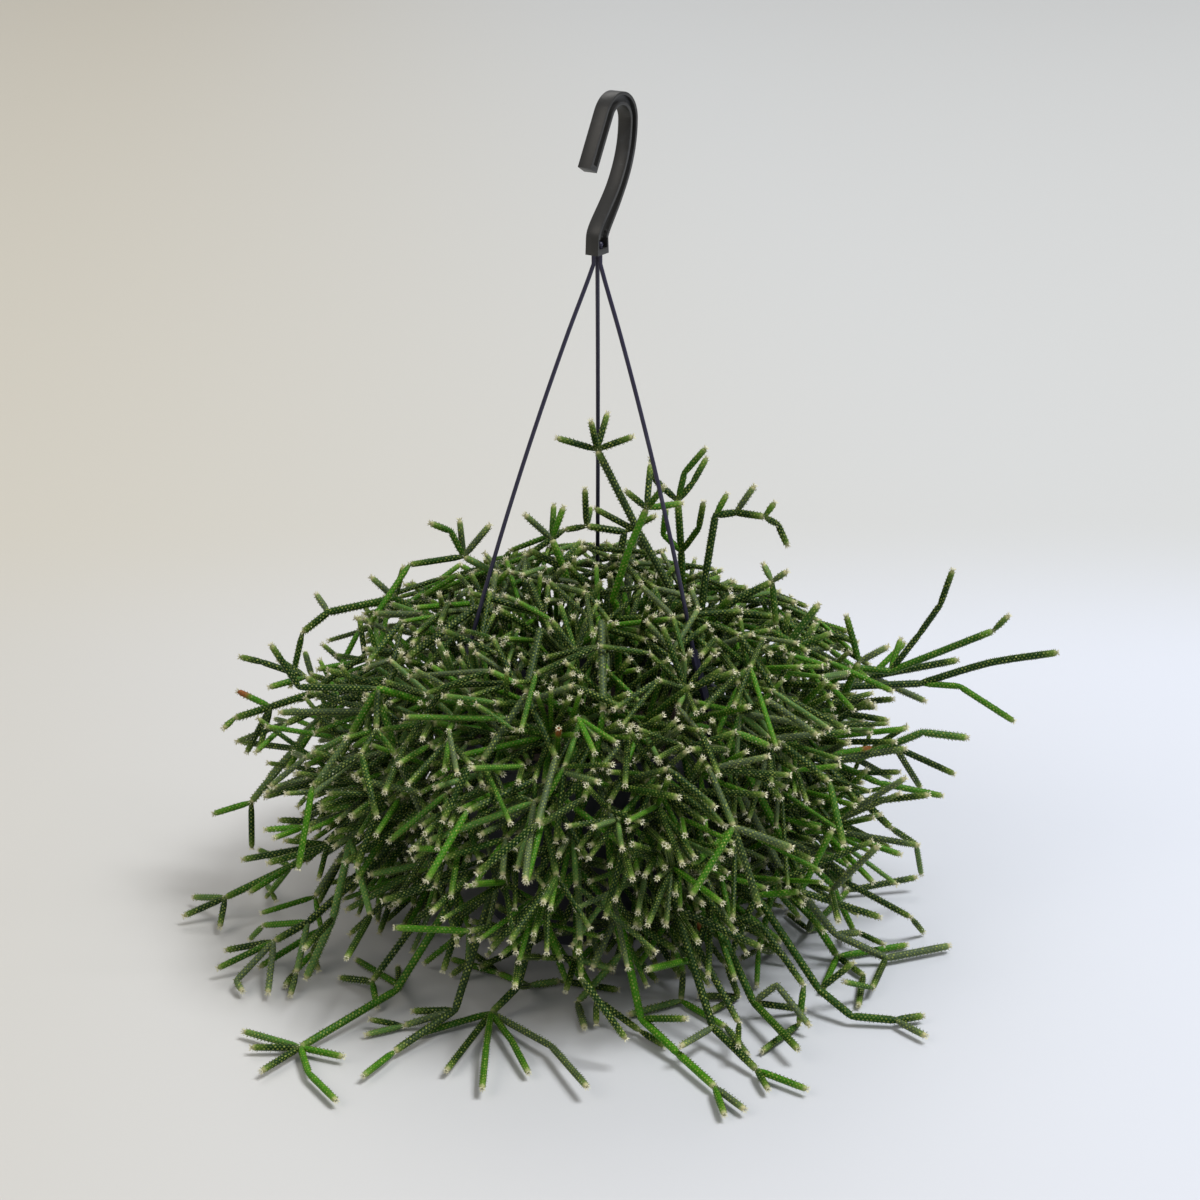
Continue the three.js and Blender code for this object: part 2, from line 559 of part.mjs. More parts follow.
function makePot() {
  const step = potOuterRadius(STEP_HEIGHT + 1);
  const profile = [
    [0, 0],
    [POT_FOOT_RADIUS - 1.5, 0],
    [POT_FOOT_RADIUS - 0.2, 1.3],
    [step - 1 - STEP_DEPTH * 0.25, STEP_HEIGHT],
    [step, STEP_HEIGHT + 1],
    [POT_WALL_TOP_RADIUS, POT_HEIGHT - LIP_HEIGHT],
    [LIP_RADIUS, POT_HEIGHT - LIP_HEIGHT],
    [LIP_RADIUS, POT_HEIGHT - 1],
    [LIP_RADIUS - 1, POT_HEIGHT],
    [INNER_RIM_RADIUS, POT_HEIGHT],
    [INNER_FOOT_RADIUS, POT_FLOOR],
    [0, POT_FLOOR],
  ];
  let solid = toSolid(lathe(profile, POT_SIDES));
  for (let i = 0; i < DRAIN_COUNT; i++) {
    const angle = (i + 0.5) * Math.PI * 2 / DRAIN_COUNT;
    const drain = new THREE.CylinderGeometry(DRAIN_RADIUS, DRAIN_RADIUS, POT_FLOOR * 3, 8);
    drain.rotateX(Math.PI / 2);
    drain.translate(DRAIN_CIRCLE * Math.cos(angle), DRAIN_CIRCLE * Math.sin(angle), POT_FLOOR / 2);
    solid = solid.subtract(toSolid(drain));
  }
  return toGeometry(solid);
}

function makeSoil(roots) {
  const inner = (z) => INNER_FOOT_RADIUS
    + (INNER_RIM_RADIUS - INNER_FOOT_RADIUS) * (z - POT_FLOOR) / (POT_HEIGHT - POT_FLOOR) - GAP * 1.8;
  const bottom = POT_FLOOR + GAP;
  const profile = [[0, bottom], [inner(bottom), bottom], [inner(SOIL_TOP), SOIL_TOP], [0, SOIL_TOP + SOIL_CROWN]];
  let solid = toSolid(lathe(profile, SOIL_SIDES));
  for (const root of roots) {
    if (root.free) continue;
    const depth = ROOT_DEPTH + GAP + SOIL_CROWN;
    const hole = new THREE.CylinderGeometry(HOLE_RADIUS, HOLE_RADIUS, depth, HOLE_SIDES);
    hole.rotateX(Math.PI / 2);
    hole.translate(root.x, root.y, SOIL_TOP + SOIL_CROWN - depth / 2 + 0.01);
    solid = solid.subtract(toSolid(hole));
  }
  return toGeometry(solid);
}

// Hanger

function clipPoint(degrees, away, z) {
  const angle = THREE.MathUtils.degToRad(degrees);
  return [away * Math.cos(angle), away * Math.sin(angle), z];
}

// The middle line of a rod, from inside its clip's tab to its head in the hook's foot.
function rodLine(degrees) {
  const [tabAway, tabHeight] = TAB_END;
  const foot = vec(...HOOK_FOOT);
  const head = foot.clone().add(vec(...clipPoint(degrees, HEAD_CIRCLE, 0)));
  const start = vec(...clipPoint(degrees, tabAway + 0.8, tabHeight - 2.5));
  const neck = head.clone().setZ(foot.z - 9);
  const throat = head.clone().setZ(foot.z - 5);
  const bow = vec(...clipPoint(degrees, ROD_BOW, 0));
  const points = [start];
  for (let i = 1; i < ROD_STEPS; i++) {
    const t = i / ROD_STEPS;
    points.push(start.clone().lerp(neck, t).addScaledVector(bow, 4 * t * (1 - t)));
  }
  return [...points, neck, throat, head];
}

function makeRod(degrees) {
  const [tabAway, tabHeight] = TAB_END;
  const half = CLIP_THICKNESS / 2;
  const legOut = LIP_RADIUS + GAP;
  const lipFoot = POT_HEIGHT - LIP_HEIGHT;
  const legIn = INNER_RIM_RADIUS - 1.3;
  const outline = new THREE.Shape([
    [legOut, lipFoot - GAP],
    [legOut, POT_HEIGHT + GAP],
    [legIn, POT_HEIGHT + GAP],
    [legIn, POT_HEIGHT - 3],
    [legIn - CLIP_THICKNESS, POT_HEIGHT - 3],
    [legIn - CLIP_THICKNESS, POT_HEIGHT + GAP + CLIP_THICKNESS],
    [legOut, POT_HEIGHT + GAP + CLIP_THICKNESS],
    [legOut, POT_HEIGHT + 11],
    [tabAway - half, tabHeight],
    [tabAway + half, tabHeight + 0.5],
    [legOut + CLIP_THICKNESS, POT_HEIGHT + 11.5],
    [legOut + CLIP_THICKNESS, lipFoot - GAP - CLIP_THICKNESS],
    [legOut - 1.6, lipFoot - GAP - CLIP_THICKNESS],
    [legOut - 1.6, lipFoot - GAP],
  ].map(([r, z]) => new THREE.Vector2(r, z)));
  const clip = new THREE.ExtrudeGeometry(outline, { depth: CLIP_WIDTH, bevelEnabled: false });
  clip.translate(0, 0, -CLIP_WIDTH / 2);
  clip.rotateX(Math.PI / 2);
  clip.rotateZ(THREE.MathUtils.degToRad(degrees));

  const line = rodLine(degrees);
  const head = new THREE.SphereGeometry(HEAD_RADIUS, 6, 4);
  head.rotateX(Math.PI / 2);
  const seat = line[line.length - 1];
  head.translate(seat.x, seat.y, seat.z);
  return toGeometry(toSolid(clip).add(bentRod(line, ROD_RADIUS, ROD_SIDES, false)).add(toSolid(head)));
}

// The hook's middle line in its own plane: up the shank, round the crook and down to the tip.
function hookLine(end) {
  const [u, v] = CROOK_CENTRE;
  const [du, dv] = [HOOK_TIP[0] - u, HOOK_TIP[1] - v];
  const turn = Math.atan2(dv, du) - Math.acos(CROOK_RADIUS / Math.hypot(du, dv)) + Math.PI * 2;
  const line = new THREE.Path();
  line.moveTo(0, FOOT_BOTTOM);
  line.lineTo(0, FOOT_BOTTOM + FOOT_FLOOR + FOOT_WINDOW);
  line.bezierCurveTo(0, SHANK_RISE, u + CROOK_RADIUS, SHANK_BEND, u + CROOK_RADIUS, v);
  line.absarc(u, v, CROOK_RADIUS, 0, turn, false);
  line.lineTo(...HOOK_TIP);
  const points = line.getPoints(7);
  const tip = points.length - 1;
  points[tip].lerp(points[tip - 1], end / points[tip].distanceTo(points[tip - 1]));
  return points;
}

// The band on both sides of that line, pushed out along its width. It spreads towards the foot.
function hookBand(half, end, from, depth) {
  const line = hookLine(end);
  const [left, right] = [[], []];
  line.forEach((p, i) => {
    const along = line[Math.min(i + 1, line.length - 1)].clone().sub(line[Math.max(i - 1, 0)]).normalize();
    const spread = half + (FOOT_HALF - HOOK_THICKNESS / 2) * Math.max(0, 1 - p.y / FOOT_TAPER);
    left.push(new THREE.Vector2(p.x - along.y * spread, p.y + along.x * spread));
    right.push(new THREE.Vector2(p.x + along.y * spread, p.y - along.x * spread));
  });
  const band = new THREE.ExtrudeGeometry(new THREE.Shape([...left, ...right.reverse()]),
    { depth, bevelEnabled: false });
  band.translate(0, 0, from);
  return toSolid(band);
}

function block(uSize, vLow, vHigh, wHalf) {
  const geometry = new THREE.BoxGeometry(uSize, vHigh - vLow, wHalf * 2);
  geometry.translate(0, (vLow + vHigh) / 2, 0);
  return toSolid(geometry);
}

// The channels on the two sides run down to the foot's hollow, over the floor that the rods pass.
function makeHook() {
  const halfWidth = HOOK_WIDTH / 2;
  const web = HOOK_THICKNESS / 2 - HOOK_FLANGE;
  const floorTop = FOOT_BOTTOM + FOOT_FLOOR;
  let solid = hookBand(HOOK_THICKNESS / 2, 0, -halfWidth, HOOK_WIDTH);
  solid = solid.subtract(hookBand(web, TIP_WALL, halfWidth - HOOK_RECESS, HOOK_RECESS + 1));
  solid = solid.subtract(hookBand(web, TIP_WALL, -halfWidth - 1, HOOK_RECESS + 1));
  solid = solid.add(block(FOOT_HOLLOW * 2 + 1, FOOT_BOTTOM, floorTop, halfWidth));
  solid = solid.subtract(block(FOOT_HOLLOW * 2, floorTop, floorTop + FOOT_WINDOW, halfWidth + 1));
  const nub = new THREE.SphereGeometry(NUB_RADIUS, 6, 4);
  nub.translate(...NUB_PLACE, halfWidth - NUB_RADIUS);
  solid = solid.add(toSolid(nub));
  for (const degrees of Object.values(ROD_ANGLES)) {
    const angle = THREE.MathUtils.degToRad(degrees - HOOK_HEADING);
    const hole = new THREE.CylinderGeometry(ROD_RADIUS + GAP, ROD_RADIUS + GAP, FOOT_FLOOR * 3, 8);
    hole.translate(HEAD_CIRCLE * Math.cos(angle), 0, -HEAD_CIRCLE * Math.sin(angle));
    solid = solid.subtract(toSolid(hole));
  }
  const geometry = toGeometry(solid);
  geometry.rotateX(Math.PI / 2);
  geometry.rotateZ(THREE.MathUtils.degToRad(HOOK_HEADING));
  return geometry.translate(...HOOK_FOOT.slice(0, 2), HOOK_FOOT[2] - floorTop - GAP - HEAD_RADIUS);
}

// One spray: its stem, with its foot in the soil, and every fork and tip fused to it.
function makeSpray({ root, shoots }) {
  const solids = shoots.map(({ level, radius, points }) => {
    const line = points.map((p) => vec(...p));
    if (level === 0) line.unshift(vec(root.x, root.y, SOIL_TOP - ROOT_DEPTH));
    return bentRod(line, radius, STEM_SIDES[level], level > 0);
  });
  return toGeometry(wasm.Manifold.union(solids), FUSING_TOLERANCE);
}

// The whole object

const plastic = (color) => new THREE.MeshStandardMaterial({ color, roughness: 0.6, metalness: 0 });
const potPlastic = plastic(0x23272e);
const hookPlastic = plastic(0x33322f);
const rodPlastic = plastic(0x221d3c);
const compost = new THREE.MeshStandardMaterial({ color: 0x2a1d14, roughness: 1, metalness: 0 });
const stemGreen = new THREE.MeshStandardMaterial({ color: 0x2f5526, roughness: 0.7, metalness: 0 });

const plant = new THREE.Group();

function addPiece(name, geometry, material) {
  const mesh = new THREE.Mesh(geometry, material);
  mesh.name = name;
  plant.add(mesh);
}

const { sprays, roots } = growBush();
addPiece('pot', makePot(), potPlastic);
addPiece('soil', makeSoil(roots), compost);
addPiece('hook', makeHook(), hookPlastic);
for (const [side, degrees] of Object.entries(ROD_ANGLES)) {
  addPiece(`hanger_rod_${side}`, makeRod(degrees), rodPlastic);
}
sprays.forEach((spray, i) => {
  addPiece(`spray_${String(i + 1).padStart(2, '0')}`, makeSpray(spray), stemGreen);
});

export default plant;
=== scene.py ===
import math
import bmesh
import bpy
from mathutils import Matrix, Vector


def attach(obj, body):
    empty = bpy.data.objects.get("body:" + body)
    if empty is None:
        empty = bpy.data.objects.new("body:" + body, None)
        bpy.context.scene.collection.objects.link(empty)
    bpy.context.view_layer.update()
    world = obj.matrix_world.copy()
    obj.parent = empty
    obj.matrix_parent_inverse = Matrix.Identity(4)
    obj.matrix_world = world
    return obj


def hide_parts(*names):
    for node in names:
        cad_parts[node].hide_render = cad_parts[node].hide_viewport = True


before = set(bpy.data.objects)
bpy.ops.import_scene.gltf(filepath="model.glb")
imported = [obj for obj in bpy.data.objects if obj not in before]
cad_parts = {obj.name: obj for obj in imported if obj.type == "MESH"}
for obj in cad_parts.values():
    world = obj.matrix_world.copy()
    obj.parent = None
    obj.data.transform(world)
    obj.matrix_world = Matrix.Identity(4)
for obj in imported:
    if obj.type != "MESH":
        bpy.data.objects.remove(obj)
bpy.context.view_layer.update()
mm = 0.001
print("frame loaded, nodes:", len(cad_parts))


# Camera

view = {
    "place": (0, -1.12823, 0.59064),
    "pitch": 20.867,            # degrees below the horizon
    "yaw": 0.3205,              # degrees towards +X
    "fieldOfView": 26.7455,
    "farthest": 50,
}


def newObject(name, data):
    thing = bpy.data.objects.new(name, data)
    bpy.context.collection.objects.link(thing)
    return thing


def placeCamera():
    eye = newObject("camera", bpy.data.cameras.new("camera"))
    eye.location = view["place"]
    eye.rotation_euler = (math.radians(90 - view["pitch"]), 0, -math.radians(view["yaw"]))
    eye.data.angle = math.radians(view["fieldOfView"])
    eye.data.clip_end = view["farthest"]
    bpy.context.scene.camera = eye


placeCamera()


# Node trees, for the materials and for the geometry

class Wire:                     # a node's output, so that sums and products can be written out
    def __init__(self, net, out):
        self.net = net
        self.out = out

    def beside(self, name):     # another output of the same node
        return Wire(self.net, self.out.node.outputs[name])

    def __add__(self, other):
        return self.net.maths("ADD", self, other)

    def __sub__(self, other):
        return self.net.maths("SUBTRACT", self, other)

    def __rsub__(self, other):
        return self.net.maths("SUBTRACT", other, self)

    def __mul__(self, other):
        return self.net.maths("MULTIPLY", self, other)

    def __truediv__(self, other):
        return self.net.maths("DIVIDE", self, other)

    __radd__ = __add__
    __rmul__ = __mul__


class Net:
    def __init__(self, tree):
        self.tree = tree

    # one node: its type, its settings, then the values or wires of its sockets by name or number
    def make(self, kind, settings=None, sockets=None, out=0):
        node = self.tree.nodes.new(kind)
        for name, value in (settings or {}).items():
            setattr(node, name, value)
        for key, value in (sockets or {}).items():
            several = value if isinstance(value, list) else [value]
            for one in several:
                if isinstance(one, Wire):
                    self.tree.links.new(one.out, node.inputs[key])
                else:
                    node.inputs[key].default_value = one
        return Wire(self, node.outputs[out]) if len(node.outputs) else None

    def maths(self, operation, *values):
        return self.make("ShaderNodeMath", {"operation": operation}, dict(enumerate(values)))

    def vectorMaths(self, operation, *values, out="Vector"):
        return self.make("ShaderNodeVectorMath", {"operation": operation}, dict(enumerate(values)), out)

    def vector(self, x=0.0, y=0.0, z=0.0):
        return self.make("ShaderNodeCombineXYZ", None, {"X": x, "Y": y, "Z": z})

    # a random vector, whole number or number between two of its kind
    def random(self, low, high, seed):
        kinds = {tuple: ("FLOAT_VECTOR", 0, 0), float: ("FLOAT", 2, 1), int: ("INT", 4, 2)}
        kind, first, out = kinds[type(low)]
        return self.make("FunctionNodeRandomValue", {"data_type": kind},
                         {first: low, first + 1: high, "Seed": seed}, out)

    def smooth(self, value, low, high):     # 0 at low, 1 at high, eased
        return self.make("ShaderNodeMapRange", {"interpolation_type": "SMOOTHSTEP"},
                         {"Value": value, "From Min": low, "From Max": high})

    def mix(self, factor, first, second):   # two colours
        return self.make("ShaderNodeMix", {"data_type": "RGBA"}, {"Factor": factor, 6: first, 7: second}, 2)

    def place(self):                        # on the piece itself
        return self.make("ShaderNodeTexCoord", out="Object")

    def reading(self, name, out="Fac"):     # a mesh's attribute, in a material
        return self.make("ShaderNodeAttribute", {"attribute_name": name}, out=out)

    def note(self, name):                   # a number of the same kind, in a geometry tree
        return self.make("GeometryNodeInputNamedAttribute", {"data_type": "FLOAT"}, {"Name": name})

    def noise(self, place, scale, detail=3.0, roughness=0.55):
        return self.make("ShaderNodeTexNoise", None,
                         {"Vector": place, "Scale": scale, "Detail": detail, "Roughness": roughness})

    def surface(self, colour, roughness, gloss=0.5):
        return self.make("ShaderNodeBsdfPrincipled", None,
                         {"Base Color": colour, "Roughness": roughness, "Specular IOR Level": gloss})

    def onEach(self, points, thing, rotation, scale, **more):   # a copy of a thing on each point
        return self.make("GeometryNodeInstanceOnPoints", None, {
            "Points": points, "Instance": thing, "Rotation": rotation, "Scale": scale, **more})

    def joined(self, *things):
        return self.make("GeometryNodeJoinGeometry", None, {"Geometry": list(things)})

    def realized(self, thing):
        return self.make("GeometryNodeRealizeInstances", None, {"Geometry": thing})

    def dressed(self, thing, material):
        return self.make("GeometryNodeSetMaterial", None, {"Geometry": thing, "Material": material})


def newMaterial(name):
    material = bpy.data.materials.new(name)
    material.use_nodes = True
    material.node_tree.nodes.clear()
    return material, Net(material.node_tree)


def finishMaterial(net, shader, bump=None, strength=0.3, distance=0.0005):
    if bump:
        relief = net.make("ShaderNodeBump", None,
                          {"Height": bump, "Strength": strength, "Distance": distance})
        net.tree.links.new(relief.out, shader.out.node.inputs["Normal"])
    net.make("ShaderNodeOutputMaterial", None, {"Surface": shader})


# a geometry tree with its named inputs, each given by its kind and its value
def newTree(name, inputs):
    tree = bpy.data.node_groups.new(name, "GeometryNodeTree")
    tree.interface.new_socket("Geometry", in_out="OUTPUT", socket_type="NodeSocketGeometry")
    for label, (kind, value) in inputs.items():
        socket = tree.interface.new_socket(label, in_out="INPUT", socket_type="NodeSocket" + kind)
        if value is not None:
            socket.default_value = value
    net = Net(tree)
    entry = tree.nodes.new("NodeGroupInput")
    return net, {out.name: Wire(net, out) for out in entry.outputs if out.name}


# Growth, by the solids' own rules, seed and order of draws, in millimetres

pot = {
    "height": 105,
    "sides": 144,
    "footRadius": 49.5,
    "wallTopRadius": 67.3,
    "floor": 2,
    "lipRadius": 70,
    "lipHeight": 8,
    "innerFootRadius": 48,
    "innerRimRadius": 66.8,
    "stepHeight": 32,
    "stepDepth": 0.8,
    "drainCount": 6,
    "drainRadius": 4,
    "drainCircle": 32,
}
soil = {"top": 92, "crown": 2, "rootCount": 54, "rootCircle": 58, "rootDepth": 9, "rootStub": 5}
hanger = {
    "angles": {"right": -35, "back": 85, "left": 205},
    "radius": 1,
    "sides": 14,
    "steps": 6,
    "bow": 3,
    "headRadius": 1.35,
    "headCircle": 1.75,
    "clipWidth": 4.4,
    "clipThickness": 1.6,
    "clipInset": 1.3,           # inside the rim
    "clipHook": 3,              # down the rim's inside
    "clipToe": 1.6,             # under the lip
    "tabBend": 11,              # over the rim
    "tab": [(71, 94), (71, 112), (60.6, 148)],  # its middle, as distances out and heights
    "tabClear": 3.2,            # what the stems keep away from the tab, the clip and the rod
    "clip": [(64.5, 101), (71, 107)],
    "clipClear": 3,
    "rodClear": 1.6,
    "rodStart": (0.8, -2.5),    # from the tab's end
    "neckDrop": 9,              # below the foot's heads
    "throatDrop": 5,
    "foot": (5, 0, 333.5),
}
gap = 0.3
stems = {
    "radii": (2.4, 2.1, 1.85),
    "clearance": 0.4,
    "spacing": 0.35,
    "trim": 14,
    "grid": 24,
    "seed": 20260,
    "tipShare": 0.34,
    "gapWidths": (22, 19, 16, 14, 12),
    "gapForks": 140,
    "gapTries": 3000,
    "bushCore": (0, 0, 60),
    "bushTop": 176,
    "bushFall": 0.0026,
    "bushReach": 172,
}
forks = {                       # how many, how long, and how far they open from their stem, in radians
    "shoulder": (2, 36, 0.75),
    "bareSide": (2, 40, 0.8),
    "forkedSide": (1, 40, 0.8),
    "bareEnd": (3, 34, 0.55),
    "forkedEnd": (0, 34, 0.55),
    "tip": (2, 22, 0.6),
    "gap": (1, 36, 0.8),
}
fillers = {
    "skirt": [(77, 110), (103, 62), (128, 26), (158, 8)],
    "shelf": [(74, 121), (116, 112), (148, 82)],
    "dome": [(30, 140), (58, 160), (88, 150)],
}

sprigs = [
  # tall ones over the middle
  {"joints": [[42, 8, 160], [25, 8, 192], [5, 6, 234]],
    "forks": [[2, [-14, 2, 241]], [2, [2, 0, 250]], [2, [10, 16, 249]], [2, [22, 4, 241]],
      [1, [4, 14, 202]]] },
  {"joints": [[12, -12, 165], [20, -14, 192], [28, -12, 211]],
    "forks": [[2, [18, -16, 221]], [2, [36, -16, 223]], [2, [45, -8, 212]], [2, [30, 2, 228]]] },
  {"joints": [[47, 26, 150], [46, 25, 176], [44, 25, 202]],
    "forks": [[2, [47, 26, 216], [57, 24, 229]], [2, [51, 28, 210], [58, 34, 221]], [2, [33, 30, 211],
      [31, 34, 221]],
      [1, [54, 20, 190], [56, 18, 204]], [1, [37, 22, 186], [38, 16, 201]]] },
  {"joints": [[45, 8, 148], [52, 10, 172], [63, 10, 196], [73, 8, 201], [81, 6, 202]],
    "forks": [[2, [67, 12, 210]], [3, [80, 12, 214]], [4, [89, 2, 209]], [4, [91, 8, 196], [96, 8, 185]]] },
  {"joints": [[56, -8, 150], [70, -8, 163], [88, -6, 172]],
    "forks": [[2, [95, -8, 178]], [2, [84, 0, 179]], [2, [90, -12, 152]], [0, [68, -20, 170]]] },
  {"joints": [[66, -16, 125], [92, -14, 138], [110, -12, 163]], "forks": [[1, [96, -10, 158]],
      [1, [116, -12, 148]]] },
  {"joints": [[-30, 24, 150], [-48, 28, 166], [-60, 30, 172]],
    "forks": [[2, [-66, 30, 185], [-76, 28, 190]], [2, [-62, 36, 189]], [2, [-86, 24, 170]],
      [2, [-47, 34, 187]]] },
  {"joints": [[-8, 26, 150], [-11, 28, 166], [-17, 30, 181]],
    "forks": [[2, [-30, 26, 195]], [2, [-11, 32, 197]], [2, [-16, 38, 196]], [1, [-2, 34, 176]],
      [1, [-28, 34, 174]]] },
  {"joints": [[14, 42, 150], [18, 46, 178], [2, 48, 183]],
    "forks": [[2, [-11, 46, 180]], [2, [3, 46, 203]], [1, [34, 44, 188]], [2, [2, 62, 186]]] },
  # right, held out in the air
  {"joints": [[62, 20, 122], [105, 22, 119], [150, 25, 113], [200, 26, 134]],
    "forks": [[2, [164, 29, 131], [174, 31, 146], [179, 29, 165]], [3, [207, 24, 143]], [1, [118, 34, 131]],
      [2, [156, 36, 126]]] },
  {"joints": [[66, 6, 117], [119, 8, 115], [170, 10, 115], [222, 8, 137]],
    "forks": [[2, [182, 8, 112], [209, 4, 95]], [1, [130, -2, 127]]] },
  {"joints": [[70, 34, 118], [110, 36, 108], [142, 40, 104], [186, 42, 112]],
    "forks": [[2, [160, 50, 118]], [1, [120, 48, 120]], [2, [170, 36, 92]]] },
  {"joints": [[74, -12, 110], [121, -5, 104], [131, -4, 130]],
    "forks": [[2, [124, -4, 154]], [2, [145, -4, 138]], [1, [146, -6, 100]], [1, [138, -14, 112]]] },
  {"joints": [[72, -20, 110], [112, -22, 88], [130, -20, 86], [161, -20, 100], [183, -20, 97]],
    "forks": [[2, [146, -14, 91], [178, -16, 76]], [1, [140, -28, 77], [171, -28, 70]],
      [1, [124, -34, 102]]] },
  {"joints": [[70, -28, 120], [112, -36, 92], [146, -34, 56]],
    "forks": [[2, [160, -24, 42]], [0, [98, -46, 64], [126, -46, 32], [156, -46, 14]],
      [1, [128, -48, 76]]] },
  # right, hanging towards the floor
  {"joints": [[50, -56, 110], [78, -88, 48], [106, -112, 12], [120, -124, 5], [140, -126, 4],
      [153, -122, 4]],
    "forks": [[4, [152, -140, 4]], [1, [98, -92, 52]], [2, [122, -108, 24]]] },
  {"joints": [[60, -46, 108], [88, -56, 60], [105, -62, 22], [120, -66, 6]],
    "forks": [[1, [112, -52, 34], [128, -50, 14]], [1, [98, -70, 46]], [0, [84, -42, 94]]] },
  {"joints": [[56, -52, 110], [90, -66, 52], [117, -70, 18], [142, -68, 4], [174, -56, 4]],
    "forks": [[3, [132, -100, 6]], [1, [104, -82, 40]], [2, [130, -58, 12]]] },
  # front, hanging and lying on the floor
  {"joints": [[42, -62, 109], [58, -96, 48], [72, -122, 14], [92, -158, 4]],
    "forks": [[1, [80, -104, 40], [98, -122, 20]], [2, [86, -118, 18], [100, -134, 6]],
      [1, [48, -112, 28]]] },
  {"joints": [[26, -70, 110], [40, -108, 52], [56, -142, 10], [74, -168, 4]],
    "forks": [[3, [78, -184, 4]], [3, [95, -184, 4]], [1, [52, -118, 30], [70, -140, 14]],
      [2, [44, -160, 6]]] },
  {"joints": [[6, -74, 108], [14, -104, 48], [24, -134, 10], [40, -156, 5], [55, -182, 4]],
    "forks": [[4, [58, -204, 4]], [4, [67, -200, 4]], [2, [44, -148, 18]], [1, [2, -124, 30]]] },
  {"joints": [[-14, -74, 108], [-22, -98, 48], [-32, -112, 14], [-44, -120, 5]],
    "forks": [[3, [-62, -168, 4]], [3, [-48, -182, 4]], [3, [-34, -146, 6], [-26, -170, 4]],
      [3, [-22, -150, 6], [0, -186, 4]], [3, [-74, -138, 4]], [1, [-12, -116, 30]]] },
  {"joints": [[-4, -72, 112], [-2, -94, 62], [-2, -102, 26]],
    "forks": [[2, [-24, -106, 27]], [2, [12, -110, 22]], [2, [-10, -120, 16]], [2, [4, -120, 12]],
      [1, [16, -100, 48]],
      [1, [-18, -106, 46]]] },
  {"joints": [[-38, -62, 110], [-60, -92, 52], [-88, -108, 10], [-128, -148, 4]],
    "forks": [[3, [-155, -134, 4]], [3, [-150, -148, 4]], [3, [-143, -168, 4]], [3, [-108, -156, 4]],
      [3, [-122, -170, 4], [-108, -192, 4]], [1, [-78, -82, 34], [-100, -96, 8]]] },
  {"joints": [[-26, -68, 110], [-44, -98, 54], [-60, -126, 10], [-86, -152, 4]],
    "forks": [[1, [-58, -92, 40], [-66, -112, 22]], [2, [-80, -120, 6]], [3, [-98, -172, 4]]] },
  # left
  {"joints": [[-56, -50, 110], [-98, -58, 52], [-132, -68, 24], [-148, -72, 16]],
    "forks": [[3, [-172, -66, 8]], [3, [-174, -80, 6]], [3, [-164, -90, 5], [-160, -98, 4]],
      [3, [-148, -100, 4]],
      [2, [-136, -88, 8]], [1, [-120, -44, 44]]] },
  {"joints": [[-64, -40, 110], [-108, -28, 56], [-145, -22, 30], [-178, -20, 12]],
    "forks": [[3, [-196, -6, 5]], [3, [-198, -26, 5]], [3, [-179, -36, 4]], [2, [-158, -2, 6]],
      [1, [-124, -42, 52]],
      [2, [-164, -34, 22]]] },
  {"joints": [[-62, -30, 122], [-92, -56, 140], [-112, -58, 116]],
    "forks": [[1, [-132, -60, 141], [-144, -60, 162]], [2, [-128, -70, 92]], [2, [-132, -48, 100]],
      [1, [-96, -74, 126]]] },
  {"joints": [[-68, -6, 118], [-120, -2, 110], [-136, 0, 121]],
    "forks": [[2, [-157, 2, 128], [-168, 4, 130]], [2, [-153, -8, 119]], [2, [-150, 10, 126]],
      [1, [-146, -4, 98]]] },
  {"joints": [[-70, 16, 116], [-121, 12, 112], [-155, 10, 101], [-173, 10, 95]],
    "forks": [[3, [-178, 4, 92]], [2, [-172, 18, 106]], [1, [-136, 24, 112]], [2, [-160, -4, 84]]] },
  {"joints": [[-74, 4, 106], [-130, 2, 100], [-146, 0, 82], [-168, 0, 56]],
    "forks": [[3, [-185, 2, 47]], [3, [-166, -4, 31]], [1, [-140, 18, 84], [-150, 26, 62]],
      [2, [-158, 12, 62]]] },
  {"joints": [[-62, 26, 130], [-94, 28, 151], [-127, 30, 143], [-140, 28, 133]],
    "forks": [[1, [-106, 34, 160]], [1, [-90, 38, 164]], [2, [-134, 42, 148]]] },
  {"joints": [[-68, -22, 112], [-98, -48, 76], [-106, -70, 62], [-122, -84, 30], [-126, -92, 6]],
    "forks": [[2, [-120, -62, 66]], [1, [-124, -42, 70]], [3, [-136, -76, 14]], [2, [-100, -92, 40]]] },
]


def seededRandom(seed):
    state = [seed]

    def draw():
        state[0] = (state[0] * 1664525 + 1013904223) & 0xffffffff
        return state[0] / 4294967296
    return draw


def between(a, b, t):
    return [a[k] + (b[k] - a[k]) * t for k in range(3)]


def distance(a, b):
    return math.hypot(b[0] - a[0], b[1] - a[1], b[2] - a[2])


def unit(a):
    size = math.hypot(*a)
    return [c / size for c in a]


def cross(a, b):
    return [a[1] * b[2] - a[2] * b[1], a[2] * b[0] - a[0] * b[2], a[0] * b[1] - a[1] * b[0]]


def clipPoint(degrees, away, z):
    angle = math.radians(degrees)
    return [away * math.cos(angle), away * math.sin(angle), z]


